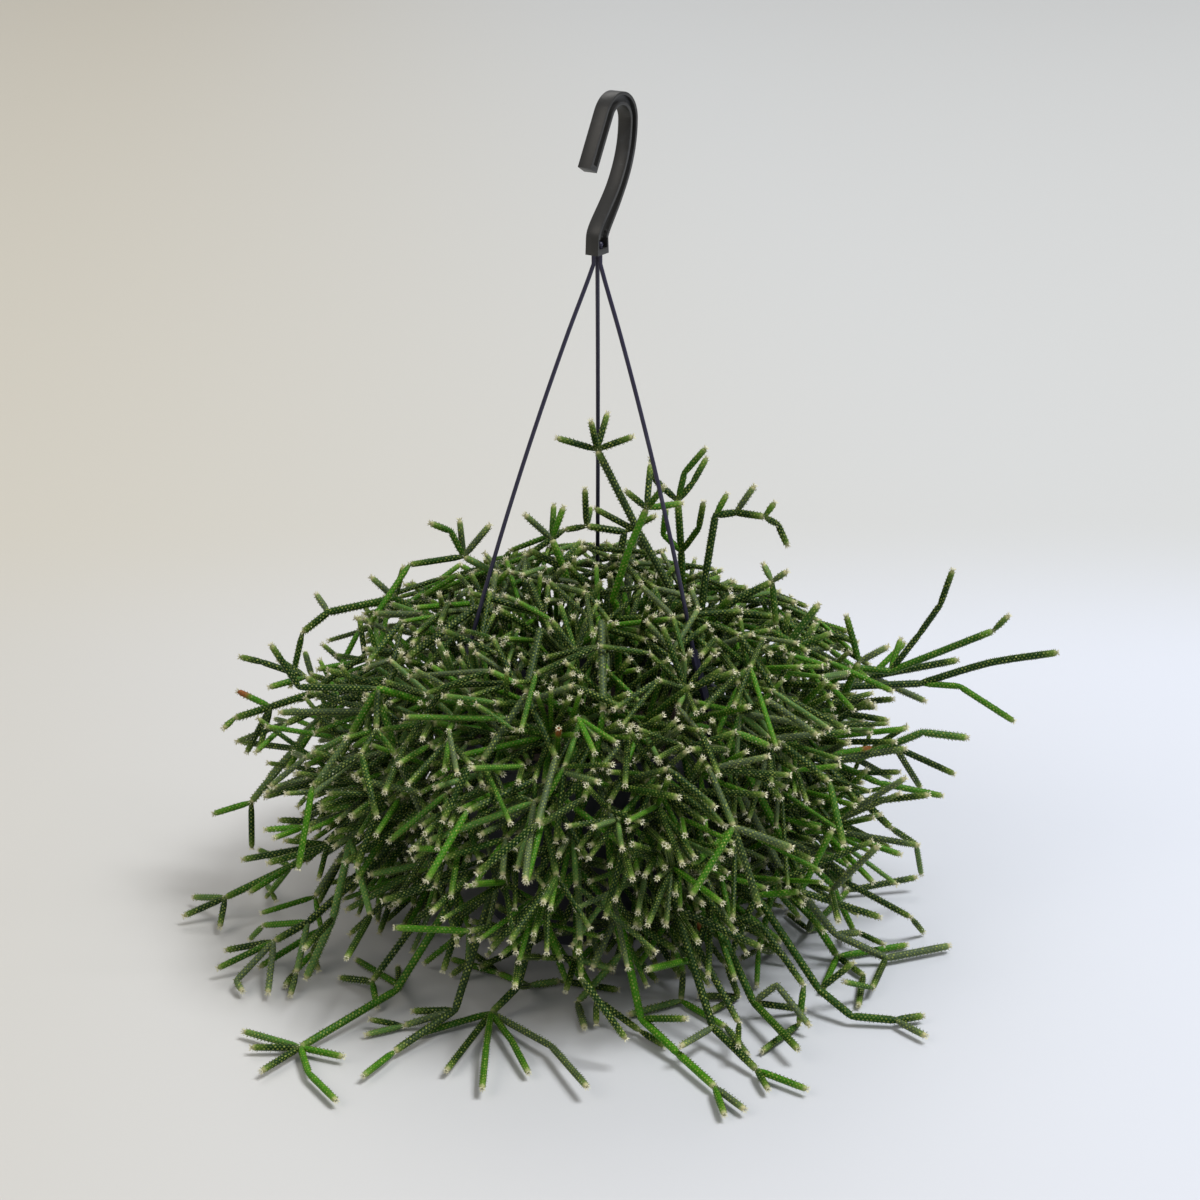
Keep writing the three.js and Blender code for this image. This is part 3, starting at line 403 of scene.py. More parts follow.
def rodLine(degrees, steps):
    away, height = hanger["tab"][-1]
    outward, upward = hanger["rodStart"]
    foot = hanger["foot"]
    side = clipPoint(degrees, hanger["headCircle"], 0)
    head = [foot[0] + side[0], foot[1] + side[1], foot[2]]
    start = clipPoint(degrees, away + outward, height + upward)
    neck = [head[0], head[1], foot[2] - hanger["neckDrop"]]
    throat = [head[0], head[1], foot[2] - hanger["throatDrop"]]
    bow = clipPoint(degrees, hanger["bow"], 0)
    line = [start]
    for i in range(1, steps):
        t = i / steps
        p = between(start, neck, t)
        line.append([p[0] + bow[0] * 4 * t * (1 - t), p[1] + bow[1] * 4 * t * (1 - t), p[2]])
    return line + [neck, throat, head]


def potOuterRadius(z):
    foot = pot["footRadius"] - (pot["stepDepth"] if z < pot["stepHeight"] else 0)
    slope = (pot["wallTopRadius"] - pot["footRadius"]) / (pot["height"] - pot["lipHeight"])
    return foot + slope * max(z, 0)


def segmentDistance(a, b, c, d):
    ux, uy, uz = b[0] - a[0], b[1] - a[1], b[2] - a[2]
    vx, vy, vz = d[0] - c[0], d[1] - c[1], d[2] - c[2]
    wx, wy, wz = a[0] - c[0], a[1] - c[1], a[2] - c[2]
    uu = ux * ux + uy * uy + uz * uz
    uv = ux * vx + uy * vy + uz * vz
    vv = vx * vx + vy * vy + vz * vz
    uw = ux * wx + uy * wy + uz * wz
    vw = vx * wx + vy * wy + vz * wz
    det = uu * vv - uv * uv
    s = min(max((uv * vw - vv * uw) / det, 0), 1) if det > 1e-9 else 0
    t = (uv * s + vw) / vv if vv > 1e-9 else 0
    if t < 0 or t > 1:
        t = min(max(t, 0), 1)
        s = min(max((uv * t - uw) / uu, 0), 1) if uu > 1e-9 else 0
    return math.sqrt((wx + ux * s - vx * t) ** 2 + (wy + uy * s - vy * t) ** 2 + (wz + uz * s - vz * t) ** 2)


class Thicket:                  # every stretch of stem so far, so that no shoot runs through another
    def __init__(self):
        self.cells = {}

    def cellsAround(self, a, b, reach):
        low = [math.floor((min(a[k], b[k]) - reach) / stems["grid"]) for k in range(3)]
        high = [math.floor((max(a[k], b[k]) + reach) / stems["grid"]) for k in range(3)]
        return [(i, j, k) for i in range(low[0], high[0] + 1) for j in range(low[1], high[1] + 1)
                for k in range(low[2], high[2] + 1)]

    def add(self, points, radius, spray):
        for a, b in zip(points, points[1:]):
            for cell in self.cellsAround(a, b, radius):
                self.cells.setdefault(cell, []).append((a, b, radius, spray))

    def isBare(self, point, width):
        for cell in self.cellsAround(point, point, width):
            for a, b, _, _ in self.cells.get(cell, ()):
                if segmentDistance(point, point, a, b) < width:
                    return False
        return True

    def fits(self, points, radius, spray, isFork):
        for i in range(1, len(points)):
            a, b = points[i - 1], points[i]
            trim = 0.02
            if i == 1:
                trim = min(stems["trim"] / distance(a, b), 1) if isFork else 0.5
            start = between(a, b, trim)
            if potBlocks(a, b, radius):
                return False
            met = {}
            for cell in self.cellsAround(a, b, radius + 3):
                for other in self.cells.get(cell, ()):
                    met[id(other)] = other
            for c, d, otherRadius, otherSpray in met.values():
                origin = start if otherSpray == spray else a
                if segmentDistance(origin, b, c, d) < radius + otherRadius + stems["spacing"]:
                    return False
        return True


def potBlocks(a, b, radius):
    reach = radius + gap * 2
    for i in range(9):
        x, y, z = between(a, b, i / 8)
        away = math.hypot(x, y)
        overSoil = away < pot["innerRimRadius"] - reach - 1
        if z < radius + stems["clearance"] - 0.01:
            return True
        if overSoil and z < soil["top"] + soil["crown"] + reach:
            return True
        if overSoil or z > pot["height"] + reach:
            continue
        wall = pot["lipRadius"] if z > pot["height"] - pot["lipHeight"] - reach else potOuterRadius(z)
        if away < wall + reach:
            return True
    return False


def insideBush(p, slack=0):
    away = math.hypot(p[0], p[1])
    top = stems["bushTop"] + slack - stems["bushFall"] * away * away
    return away < stems["bushReach"] + slack and p[2] < top


def isOutward(start, end):
    return distance(end, stems["bushCore"]) > distance(start, stems["bushCore"]) + 6


def lift(p, radius):
    return [p[0], p[1], max(p[2], radius + stems["clearance"])]


class Bush:
    def __init__(self):
        self.random = seededRandom(stems["seed"])
        self.thicket = Thicket()
        self.sprays = []
        self.keepClearOfHanger()
        self.roots = self.setRoots()
        self.growSprigs()
        self.growFillers()
        self.growForks()
        self.growIntoGaps()

    def spread(self, size):
        return (self.random() - 0.5) * 2 * size

    def keepClearOfHanger(self):
        for degrees in hanger["angles"].values():
            self.thicket.add(rodLine(degrees, hanger["steps"]), hanger["rodClear"], -1)
            for part in ("tab", "clip"):
                line = [clipPoint(degrees, away, z) for away, z in hanger[part]]
                self.thicket.add(line, hanger[part + "Clear"], -1)

    def setRoots(self):
        roots = []
        for i in range(soil["rootCount"]):
            away = soil["rootCircle"] * math.sqrt((i + 0.5) / soil["rootCount"])
            turn = i * math.pi * (3 - math.sqrt(5))
            x, y = away * math.cos(turn), away * math.sin(turn)
            top = [x, y, soil["top"] + soil["crown"] + soil["rootStub"]]
            self.thicket.add([[x, y, soil["top"]], top], stems["radii"][0], i)
            roots.append({"number": i, "x": x, "y": y, "top": top, "free": True})
        return roots

    def bend(self, start, end, radius, bow):
        steps = max(1, math.floor(distance(start, end) / 42 + 0.5))
        points = []
        for i in range(1, steps + 1):
            t = i / steps
            p = between(start, end, t)
            p[2] += bow * distance(start, end) * 4 * t * (1 - t)
            points.append(lift(p, radius))
        return points

    def arch(self, root, joint, steps):
        over = [root[0] + (joint[0] - root[0]) * 0.25, root[1] + (joint[1] - root[1]) * 0.25,
                max(joint[2], pot["height"]) + 12]
        return [between(between(root, over, i / steps), between(over, joint, i / steps), i / steps)
                for i in range(1, steps + 1)]

    def tryShoot(self, spray, level, start, targets, tries, wander, radius=None):
        radius = radius or stems["radii"][level]
        for n in range(tries):
            moved = [[c + self.spread(wander * n) for c in p] for p in targets]
            points = [start]
            for target in moved:
                points += self.bend(points[-1], target, radius, 0.05)
            if self.thicket.fits(points, radius, spray["index"], True):
                self.thicket.add(points, radius, spray["index"])
                spray["shoots"].append({"level": level, "radius": radius, "points": points})
                return points
        return None

    def startSpray(self, root, joints):
        spray = {"index": root["number"], "root": root, "shoots": [], "forked": []}
        thick = stems["radii"][0]
        for n in range(14):
            moved = [lift([c + self.spread(n * (0.5 if i else 0.9)) for c in p], thick)
                     for i, p in enumerate(joints)]
            points = [root["top"]] + self.arch(root["top"], moved[0], 3)
            at = [len(points) - 1]
            for target in moved[1:]:
                points += self.bend(points[-1], target, thick, 0.04)
                at.append(len(points) - 1)
            if self.thicket.fits(points, thick, spray["index"], False):
                self.thicket.add(points, thick, spray["index"])
                spray["shoots"].append({"level": 0, "radius": thick, "points": points})
                spray["at"] = at
                spray["joints"] = [points[k] for k in at]
                spray["before"] = [points[k - 1] for k in at]
                spray["shoulder"] = points[1:3]
                self.sprays.append(spray)
                root["free"] = False
                return spray
        return None

    def nearestRoots(self, joint):
        away = math.hypot(joint[0], joint[1])
        aim = min(away * 0.72, soil["rootCircle"] - 6) / away
        free = [root for root in self.roots if root["free"]]
        free.sort(key=lambda root: math.hypot(root["x"] - joint[0] * aim, root["y"] - joint[1] * aim))
        return free[:8]

    def growSprigs(self):
        grown = []
        for sprig in sprigs:
            spray = None
            for root in self.nearestRoots(sprig["joints"][0]):
                spray = spray or self.startSpray(root, sprig["joints"])
            grown.append(spray)
        for spray, sprig in zip(grown, sprigs):
            if not spray:
                continue
            for at, *targets in sprig["forks"]:
                points = self.tryShoot(spray, 1, spray["joints"][at], targets, 14, 0.7)
                if points:
                    spray["forked"].append(points)

    def growFillers(self):
        for root in self.roots:
            if not root["free"]:
                continue
            away = math.hypot(root["x"], root["y"]) / soil["rootCircle"]
            kind = fillers["dome" if away < 0.45 else "skirt" if self.random() < 0.6 else "shelf"]
            heading = math.atan2(root["y"], root["x"]) + self.spread(0.3)
            joints = []
            for reach, height in kind:
                turn = heading + self.spread(0.12)
                at = reach * (0.94 + self.random() * 0.16)
                z = height * (0.92 + self.random() * 0.16)
                joints.append([at * math.cos(turn), at * math.sin(turn), z])
            self.startSpray(root, joints)

    def whorl(self, spray, level, joint, before, count, length, opening, gapWidth=0, radius=None, slack=0):
        along = unit([joint[k] - before[k] for k in range(3)])
        side = unit(cross([along[1], -along[0], 0.3], along))
        up = cross(along, side)
        turn = self.random() * math.pi * 2
        shoots = []
        for i in range(count):
            angle = turn + i * math.pi * 2 / count + self.spread(0.3)
            wide = opening + self.spread(0.2)
            reach = length * (0.75 + self.random() * 0.5)
            heading = [along[k] * math.cos(wide) + side[k] * math.sin(wide) * math.cos(angle)
                       + up[k] * math.sin(wide) * math.sin(angle) for k in range(3)]
            heading[2] += 0.12
            target = [joint[k] + heading[k] * reach for k in range(3)]
            if not insideBush(target, slack):
                continue
            if gapWidth and not (isOutward(joint, target) and self.thicket.isBare(target, gapWidth)):
                continue
            points = self.tryShoot(spray, level, joint, [target], 4, 2.2, radius)
            if points:
                shoots.append(points)
        return shoots

    def growForks(self):
        for spray in self.sprays:
            below, shoulder = spray["shoulder"]
            spray["forked"] += self.whorl(spray, 1, shoulder, below, *forks["shoulder"])
            last = len(spray["joints"]) - 1
            for i, joint in enumerate(spray["joints"]):
                bare = not any(distance(points[0], joint) < 1 for points in spray["forked"])
                kind = ("bare" if bare else "forked") + ("End" if i == last else "Side")
                spray["forked"] += self.whorl(spray, 1, joint, spray["before"][i], *forks[kind])
        for spray in self.sprays:
            for points in list(spray["forked"]):
                if self.random() < stems["tipShare"]:
                    self.whorl(spray, 2, points[-1], points[-2], *forks["tip"])

    def growIntoGaps(self):
        parents = [(spray, shoot["points"]) for spray in self.sprays for shoot in spray["shoots"]]
        added = 0
        for width in stems["gapWidths"]:
            for n in range(stems["gapTries"]):
                if added >= stems["gapForks"]:
                    break
                spray, points = parents[int(self.random() * len(parents))]
                i = 1 + int(self.random() * (len(points) - 1))
                for fork in self.whorl(spray, 1, points[i], points[i - 1], *forks["gap"], width):
                    parents.append((spray, fork))
                    added += 1

    def within(self, limits):
        low, high = limits
        return low + self.random() * (high - low)

    # the many short shoots that fill the bush between the stems above, past the solids' own rules
    def fillBush(self):
        self.random = seededRandom(fine["seed"])
        parents = [(spray, shoot["points"]) for spray in self.sprays for shoot in spray["shoots"]]
        grown = 0
        for n in range(fine["tries"]):
            if grown >= fine["shoots"]:
                break
            spray, points = parents[int(self.random() * len(parents))]
            i = 1 + int(self.random() * (len(points) - 1))
            radius = self.within(fine["radii"])
            count = 1 + int(self.random() * fine["most"])
            length = self.within(fine["lengths"])
            joint, before = points[i], points[i - 1]
            high = joint[2] > pot["height"]
            away = math.hypot(joint[0], joint[1])
            past = max(away - fine["dense"], 0)
            if joint[2] < fine["hem"] + past * fine["hemRise"] + self.random() * fine["hemSpread"]:
                continue
            if self.random() < past / fine["feather"]:
                continue
            core = fine["core"]
            pull = fine["pull"][high] * length / distance(joint, core)
            before = [before[k] - (joint[k] - core[k]) * pull for k in range(3)]
            opening = fine["opening"][high]
            shoots = self.whorl(spray, 3, joint, before, count, length, opening, 0, radius, fine["slack"])
            parents += [(spray, line) for line in shoots]
            grown += len(shoots)
        print("short shoots:", grown)


# Stems: each shoot's middle line, its thickness along it, and the tufts in rows round it

fine = {
    "seed": 71,
    "shoots": 2600,
    "tries": 14000,
    "most": 3,                  # from one joint
    "radii": (1.1, 1.5),
    "lengths": (20, 46),
    "opening": (0.55, 0.95),    # from their parent's line, below the pot's rim and above it
    "pull": (0.1, 0.25),        # how far they turn away from the core, in the same two places
    "core": (0, -5, 70),
    "dense": 80,                # mm from the pot's axis, and how far past that they thin out
    "feather": 52,
    "hem": 14,                  # the height that they reach down to, and how it rises outward
    "hemRise": 0.55,
    "hemSpread": 16,
    "slack": 3,                 # how far past the solids' bush they may reach
}
skin = {
    "slimness": (0.75, 0.74, 0.73, 1),      # of the solids' thickness, for each order of shoot
    "sides": 7,
    "rows": 8,
    "pitch": 1.9,               # mm between tufts along a row
    "step": 9,                  # mm between the rings of a stem's mesh
    "neck": 0.62,               # of the thickness, where a shoot leaves its joint
    "neckLength": 4.5,
    "pinch": 0.82,              # of the thickness, at a joint
    "tip": [(0.1, 0.15), (1, 0.66), (1.7, 0.93)],   # nearer the end than this, it is this much as thick
    "tuftLength": 0.48,         # of a stem's radius
    "tuftWidth": 0.17,
    "tuftFoot": 0.96,           # of the stem's radius, where tufts stand
    "tuftLengths": (0.55, 1.35),    # shortest and longest, times the length above
    "lean": 0.6,                # towards the tip
    "scatter": ((-0.25, -0.25, -0.1), (0.25, 0.25, 0.3)),   # of the way that they point
    "thinnest": 0.9,            # mm, the least radius that carries tufts
    "crownSize": (0.0018, 0.0018, 0.0016),  # metres
    "seed": 5,
}


def onCurve(corners, t):        # a point of the cubic curve with these four corners
    shares = ((1 - t) ** 3, 3 * t * (1 - t) ** 2, 3 * t * t * (1 - t), t ** 3)
    return [sum(share * corner[k] for share, corner in zip(shares, corners)) for k in range(len(corners[0]))]


# a curve through the points, as many as its steps need, with a kink at each corner
def smoothLine(points, step, corners=()):
    line = [points[0]]
    for i in range(len(points) - 1):
        a, b = points[i], points[i + 1]
        straightOn = [2 * b[k] - a[k] for k in range(3)]
        straightBack = [2 * a[k] - b[k] for k in range(3)]
        before = points[i - 1] if i and i not in corners else straightBack
        after = points[i + 2] if i + 2 < len(points) and i + 1 not in corners else straightOn
        size = distance(a, b)
        leave = unit([b[k] - before[k] for k in range(3)])
        arrive = unit([after[k] - a[k] for k in range(3)])
        pulls = (a, [a[k] + leave[k] * size * 0.3 for k in range(3)],
                 [b[k] - arrive[k] * size * 0.3 for k in range(3)], b)
        count = max(1, math.ceil(size / step))
        line += [onCurve(pulls, j / count) for j in range(1, count + 1)]
    return line


# the point that lies a distance along a line
def pointAlong(line, reach):
    for a, b in zip(line, line[1:]):
        size = distance(a, b)
        if reach <= size:
            return between(a, b, reach / size)
        reach -= size
    return line[-1]


def lineLength(line):
    return sum(distance(a, b) for a, b in zip(line, line[1:]))


# the stations of one shoot, as place, thickness, distance from its foot and distance to its tip
def shootStations(line, radius, joints):
    total = lineLength(line)
    neck = skin["neckLength"]
    marks = {0, 2.2, neck, total - 1.6, total - 0.6, total}
    at = 0
    for a, b in zip(line, line[1:]):
        at += distance(a, b)
        if 6 < at < total - 4:
            marks.add(at)
    for joint in joints:
        marks.update((joint - 2, joint, joint + 2.4))
    stations = []
    for mark in sorted(m for m in marks if 0 <= m <= total):
        thick = radius
        if mark < neck:
            thick *= skin["neck"] + (1 - skin["neck"]) * mark / neck
        for joint in joints:
            if abs(mark - joint) < 0.1:
                thick *= skin["pinch"]
        left = total - mark
        thick *= next((share for reach, share in skin["tip"] if left < reach), 1)
        if stations and mark - stations[-1][2] < 0.3:
            continue
        stations.append((pointAlong(line, mark), thick, mark, left))
    return stations


# a mesh of edges alone, with numbers noted on its points
def lineMesh(name, places, edges, notes):
    mesh = bpy.data.meshes.new(name)
    mesh.from_pydata([[c * mm for c in place] for place in places], edges, [])
    for key, values in notes.items():
        mesh.attributes.new(key, "FLOAT", "POINT").data.foreach_set("value", values)
    return mesh


# a spray's middle lines, with what the stems and the skin need on their points
def middleLines(name, spray, random):
    places, edges = [], []
    notes = {"thickness": [], "beat": [], "fromFoot": [], "fromTip": [], "tone": [], "wool": []}
    for shoot in spray["shoots"]:
        points = list(shoot["points"])
        corners = range(1, len(points) - 1)
        if shoot["level"] == 0:
            points.insert(0, [spray["root"]["x"], spray["root"]["y"], soil["top"] - soil["rootDepth"]])
            corners = [at + 1 for at in spray["at"]]
        line = smoothLine(points, skin["step"], corners)
        joints = []
        if shoot["level"] < 2:
            for i in list(corners):
                if i < len(points) - 1:
                    near = min(range(len(line)), key=lambda k: distance(line[k], points[i]))
                    joints.append(lineLength(line[:near + 1]))
        stations = shootStations(line, shoot["radius"] * skin["slimness"][shoot["level"]], joints)
        total = lineLength([s[0] for s in stations])
        beats = math.floor(total / skin["pitch"])
        tone, wool = random(), random()
        first = len(places)
        for place, thick, reach, left in stations:
            places.append(place)
            notes["thickness"].append(thick * mm)
            notes["beat"].append(reach / total * beats)
            notes["fromFoot"].append(reach)
            notes["fromTip"].append(left)
            notes["tone"].append(tone)
            notes["wool"].append(wool)
        edges += [(k, k + 1) for k in range(first, len(places) - 1)]
    return lineMesh(name, places, edges, notes)


def ringProfile(net, sides):
    return net.make("GeometryNodeCurvePrimitiveCircle", {"mode": "RADIUS"},
                    {"Resolution": sides, "Radius": 1.0})


def aimed(net, vector):
    return net.make("FunctionNodeAlignRotationToVector", {"axis": "Z"}, {"Vector": vector})


# a ring of tufts round a stem of radius 1, every other one half a step further on
def makeTuftRing(net, given, version):
    seed = given["Seed"]
    odd = net.maths("MODULO", net.make("GeometryNodeInputIndex"), 2.0)
    circle = net.make("GeometryNodeMeshCircle", None, {"Vertices": given["Rows"], "Radius": skin["tuftFoot"]})
    circle = net.make("GeometryNodeSetPosition", None,
                      {"Geometry": circle, "Offset": net.vector(z=odd * 0.5)})
    jitter = net.random(*skin["scatter"], seed + version)
    position = net.make("GeometryNodeInputPosition")
    outward = net.vectorMaths("MULTIPLY_ADD", position, (1, 1, 0), net.vector(z=given["Lean"]))
    outward = net.vectorMaths("ADD", outward, jitter)
    long, wide = given["Tuft length"], given["Tuft width"]
    tuft = net.make("GeometryNodeMeshCircle", {"fill_type": "NGON"}, {"Vertices": 3, "Radius": 1.0})
    tuft = net.make("GeometryNodeTransform", None, {
        "Geometry": tuft, "Rotation": (0, -math.pi / 2, 0), "Translation": net.vector(z=long * 0.33),
        "Scale": net.vector(long * 0.67, wide * 1.15, 1.0)})
    longer = net.random(*skin["tuftLengths"], seed + (version + 10))
    tufts = net.onEach(circle, tuft, aimed(net, outward), net.vector(1.0, 1.0, longer))
    return net.make("GeometryNodeGeometryToInstance", None, {"Geometry": net.realized(tufts)})


def makeTipCrown(net):
    circle = net.make("GeometryNodeMeshCircle", None, {"Vertices": 7, "Radius": 0.42})
    forward = net.vectorMaths("ADD", net.make("GeometryNodeInputPosition"), (0, 0, 0.5))
    tuft = net.make("GeometryNodeMeshCone", {"fill_type": "NONE"}, {
        "Vertices": 3, "Radius Top": 0.0, "Radius Bottom": 0.24, "Depth": 0.8})
    return net.realized(net.onEach(circle, tuft, aimed(net, forward), (1, 1, 1)))


# stems with rows of tufts and a crown of wool on each tip, grown along a mesh of edges
def makeTuftedStems():
    net, given = newTree("tufted stems", {
        "Lines": ("Geometry", None),
        "Sides": ("Int", skin["sides"]),
        "Rows": ("Int", skin["rows"]),
        "Pitch": ("Float", skin["pitch"] * mm),
        "Tuft length": ("Float", skin["tuftLength"]),
        "Tuft width": ("Float", skin["tuftWidth"]),
        "Lean": ("Float", skin["lean"]),
        "Seed": ("Int", skin["seed"]),
        "Skin": ("Material", None),
        "Wool": ("Material", None),
    })
    lines = net.make("GeometryNodeMeshToCurve", None, {"Mesh": given["Lines"]})
    around = net.make("GeometryNodeStoreNamedAttribute", {"data_type": "FLOAT_VECTOR", "domain": "POINT"}, {
        "Geometry": ringProfile(net, given["Sides"]), "Name": "around",
        "Value": net.make("GeometryNodeInputPosition")})
    thick = net.note("thickness")
    tube = net.make("GeometryNodeCurveToMesh", None, {
        "Curve": lines, "Profile Curve": around, "Scale": thick, "Fill Caps": True})

    versions = net.joined(*[makeTuftRing(net, given, n) for n in range(3)])
    beats = net.make("GeometryNodeCurveToPoints", {"mode": "LENGTH"},
                     {"Curve": lines, "Length": given["Pitch"]})
    wide = thick * (0.94 + net.note("wool") * 0.16)
    rings = net.onEach(beats, versions, beats.beside("Rotation"), net.vector(wide, wide, given["Pitch"]), **{
        "Selection": net.maths("GREATER_THAN", thick, skin["thinnest"] * mm), "Pick Instance": True,
        "Instance Index": net.random(0, 2, given["Seed"] + 20)})

    tips = net.make("GeometryNodeCurveToPoints", {"mode": "EVALUATED"}, {"Curve": lines})
    crowns = net.onEach(tips, makeTipCrown(net), tips.beside("Rotation"), skin["crownSize"],
                        Selection=net.maths("LESS_THAN", net.note("fromTip"), 0.2))
    hairs = net.dressed(net.realized(net.joined(rings, crowns)), given["Wool"])
    net.make("NodeGroupOutput", None, {"Geometry": net.joined(net.dressed(tube, given["Skin"]), hairs)})
    return net.tree


# runs a tree on a mesh and gives the plain mesh that comes out of it
def grownMesh(mesh, tree, values):
    rough = newObject("rough", mesh)
    modifier = rough.modifiers.new("grow", "NODES")
    modifier.node_group = tree
    sockets = {item.name: item.identifier for item in tree.interface.items_tree if item.in_out == "INPUT"}
    for name, value in values.items():
        modifier[sockets[name]] = value
    seen = bpy.context.evaluated_depsgraph_get()
    result = bpy.data.meshes.new_from_object(rough.evaluated_get(seen))
    rough.modifiers.remove(modifier)
    bpy.data.objects.remove(rough)
    if result.materials[0] is None:     # the empty slot of the mesh of edges
        finishes = [0] * len(result.polygons)
        result.polygons.foreach_get("material_index", finishes)
        result.materials.pop(index=0)
        result.polygons.foreach_set("material_index", [k - 1 for k in finishes])
    return result


def addPiece(name, mesh, node):
    piece = newObject(name, mesh)
    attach(piece, "root")
    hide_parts(node)


green = {
    "old": ((0.001, 0.014, 0.001, 1), (0.006, 0.042, 0.001, 1)),    # its darkest and its lightest
    "fresh": ((0.016, 0.11, 0.001, 1), (0.07, 0.27, 0.003, 1)),
    "young": (0.16, 0.28, 0.03, 1),
    "neck": (0.16, 0.2, 0.07, 1),
    "woolly": (0.22, 0.27, 0.16, 1),
    "areole": (0.42, 0.47, 0.10, 1),
    "crown": (0.62, 0.56, 0.30, 1),
    "dry": (0.24, 0.08, 0.02, 1),
}
woolTones = {
    "dull": (0.12, 0.18, 0.05, 1),
    "clear": (0.16, 0.20, 0.03, 1),
    "glint": (0.86, 0.86, 0.66, 1),
    "crown": (0.85, 0.80, 0.58, 1),
}


def tipCrown(net):              # 1 at a shoot's very end, 0 a little before it
    return 1 - net.smooth(net.reading("fromTip"), 0.6, 2.6)


def finishSkin():
    material, net = newMaterial("green skin")
    around = net.make("ShaderNodeSeparateXYZ", None, {0: net.reading("around", "Vector")})
    place = net.place()
    tone = net.reading("tone")
    wool = net.reading("wool")
    row = net.maths("ARCTAN2", around.beside("Y"), around) * (skin["rows"] / (2 * math.pi))
    nearest = net.maths("ROUND", row)
    odd = net.maths("FLOORED_MODULO", nearest, 2.0)
    sway = net.noise(place, 420.0) - 0.5
    beat = net.reading("beat") + odd * 0.5 + sway * 0.7
    step = net.maths("ROUND", beat)
    chance = net.make("ShaderNodeTexWhiteNoise", {"noise_dimensions": "3D"},
                      {"Vector": net.vector(nearest, step, tone * 97)})
    across = (row - nearest + sway * 0.5) * 1.25
    along = (beat - step) * skin["pitch"]
    away = net.maths("SQRT", across * across + along * along)
    areole = (1 - net.smooth(away, 0.24, 0.6)) * (0.12 + chance * chance * 0.88)
    mottle = net.noise(place, 260.0)
    patches = net.noise(place, 30.0)
    fresh = net.smooth(tone + patches * 0.5, 0.75, 1.3)
    colour = net.mix(fresh, net.mix(mottle, *green["old"]), net.mix(mottle, *green["fresh"]))
    young = 1 - net.smooth(net.reading("fromTip"), 1.0, 9.0)
    colour = net.mix(young * 0.5, colour, green["young"])
    neck = 1 - net.smooth(net.reading("fromFoot"), 1.0, 3.5)
    colour = net.mix(neck * 0.4, colour, green["neck"])
    colour = net.mix(net.smooth(wool, 0.7, 1.0) * 0.3, colour, green["woolly"])
    colour = net.mix(areole, colour, green["areole"])
    colour = net.mix(tipCrown(net) * (0.2 + wool * 0.6), colour, green["crown"])
    dry = net.maths("GREATER_THAN", tone, 0.997) * (1 - net.smooth(net.reading("fromTip"), 4.0, 9.0))
    colour = net.mix(dry, colour, green["dry"])
    shader = net.surface(colour, 0.5 + areole * 0.35, 0.16)
    finishMaterial(net, shader, areole + mottle * 0.15, 0.4, 0.0003)
    return material


def finishWool():
    material, net = newMaterial("tuft wool")
    place = net.place()
    tint = net.smooth(net.noise(place, 90.0) + net.reading("tone") * 0.2, 0.35, 0.85)
    glint = net.smooth(net.noise(place, 500.0), 0.56, 0.70)
    colour = net.mix(tint, woolTones["dull"], woolTones["clear"])
    colour = net.mix(glint, colour, woolTones["glint"])
    colour = net.mix(tipCrown(net) * 0.8, colour, woolTones["crown"])
    finishMaterial(net, net.surface(colour, 0.85))
    return material


bush = Bush()
bush.fillBush()
tuftedStems = makeTuftedStems()
stemSkin = finishSkin()
tuftWool = finishWool()
stemRandom = seededRandom(fine["seed"] + 1)
for number, spray in enumerate(bush.sprays, 1):
    name = f"spray_{number:02d}"
    lines = middleLines(name, spray, stemRandom)
    mesh = grownMesh(lines, tuftedStems, {"Skin": stemSkin, "Wool": tuftWool})
    addPiece(name + "_stems", mesh, name)
print("stems grown")


# Pot, hanger and compost

def turned(profile, sides):     # a lathed mesh from (radius, height) pairs that start and end on the axis
    shape = bmesh.new()
    loops = []
    for radius, height in profile:
        turns = [2 * math.pi * i / sides for i in range(sides if radius else 1)]
        away, z = radius * mm, height * mm
        loops.append([shape.verts.new((away * math.cos(turn), away * math.sin(turn), z)) for turn in turns])
    for low, high in zip(loops, loops[1:]):
        for i in range(sides):
            j = (i + 1) % sides
            corners = [low[i % len(low)], low[j % len(low)], high[j % len(high)], high[i % len(high)]]
            shape.faces.new(list(dict.fromkeys(corners)))
    return shape


def extruded(outline, low, high):   # a flat outline in millimetres, given depth along Z
    shape = bmesh.new()
    near = [shape.verts.new((x * mm, y * mm, low * mm)) for x, y in outline]
    far = [shape.verts.new((x * mm, y * mm, high * mm)) for x, y in outline]
    shape.faces.new(near[::-1])
    shape.faces.new(far)
    for i in range(len(outline)):
        j = (i + 1) % len(outline)
        shape.faces.new((near[i], near[j], far[j], far[i]))
    return shape


def blockShape(low, high):
    corners = [(low[0], low[1]), (high[0], low[1]), (high[0], high[1]), (low[0], high[1])]
    return extruded(corners, low[2], high[2])


def peg(radius, low, high, sides):
    return turned([(0, low), (radius, low), (radius, high), (0, high)], sides)


def ball(radius, place):
    shape = bmesh.new()
    bmesh.ops.create_uvsphere(shape, u_segments=16, v_segments=10, radius=radius * mm)
    bmesh.ops.translate(shape, verts=shape.verts, vec=[c * mm for c in place])
    return shape


def asMesh(name, shape):
    bmesh.ops.recalc_face_normals(shape, faces=shape.faces)
    mesh = bpy.data.meshes.new(name)
    shape.to_mesh(mesh)
    shape.free()
    return mesh


roundFrom, sharpFrom = 30, 32   # degrees between two faces


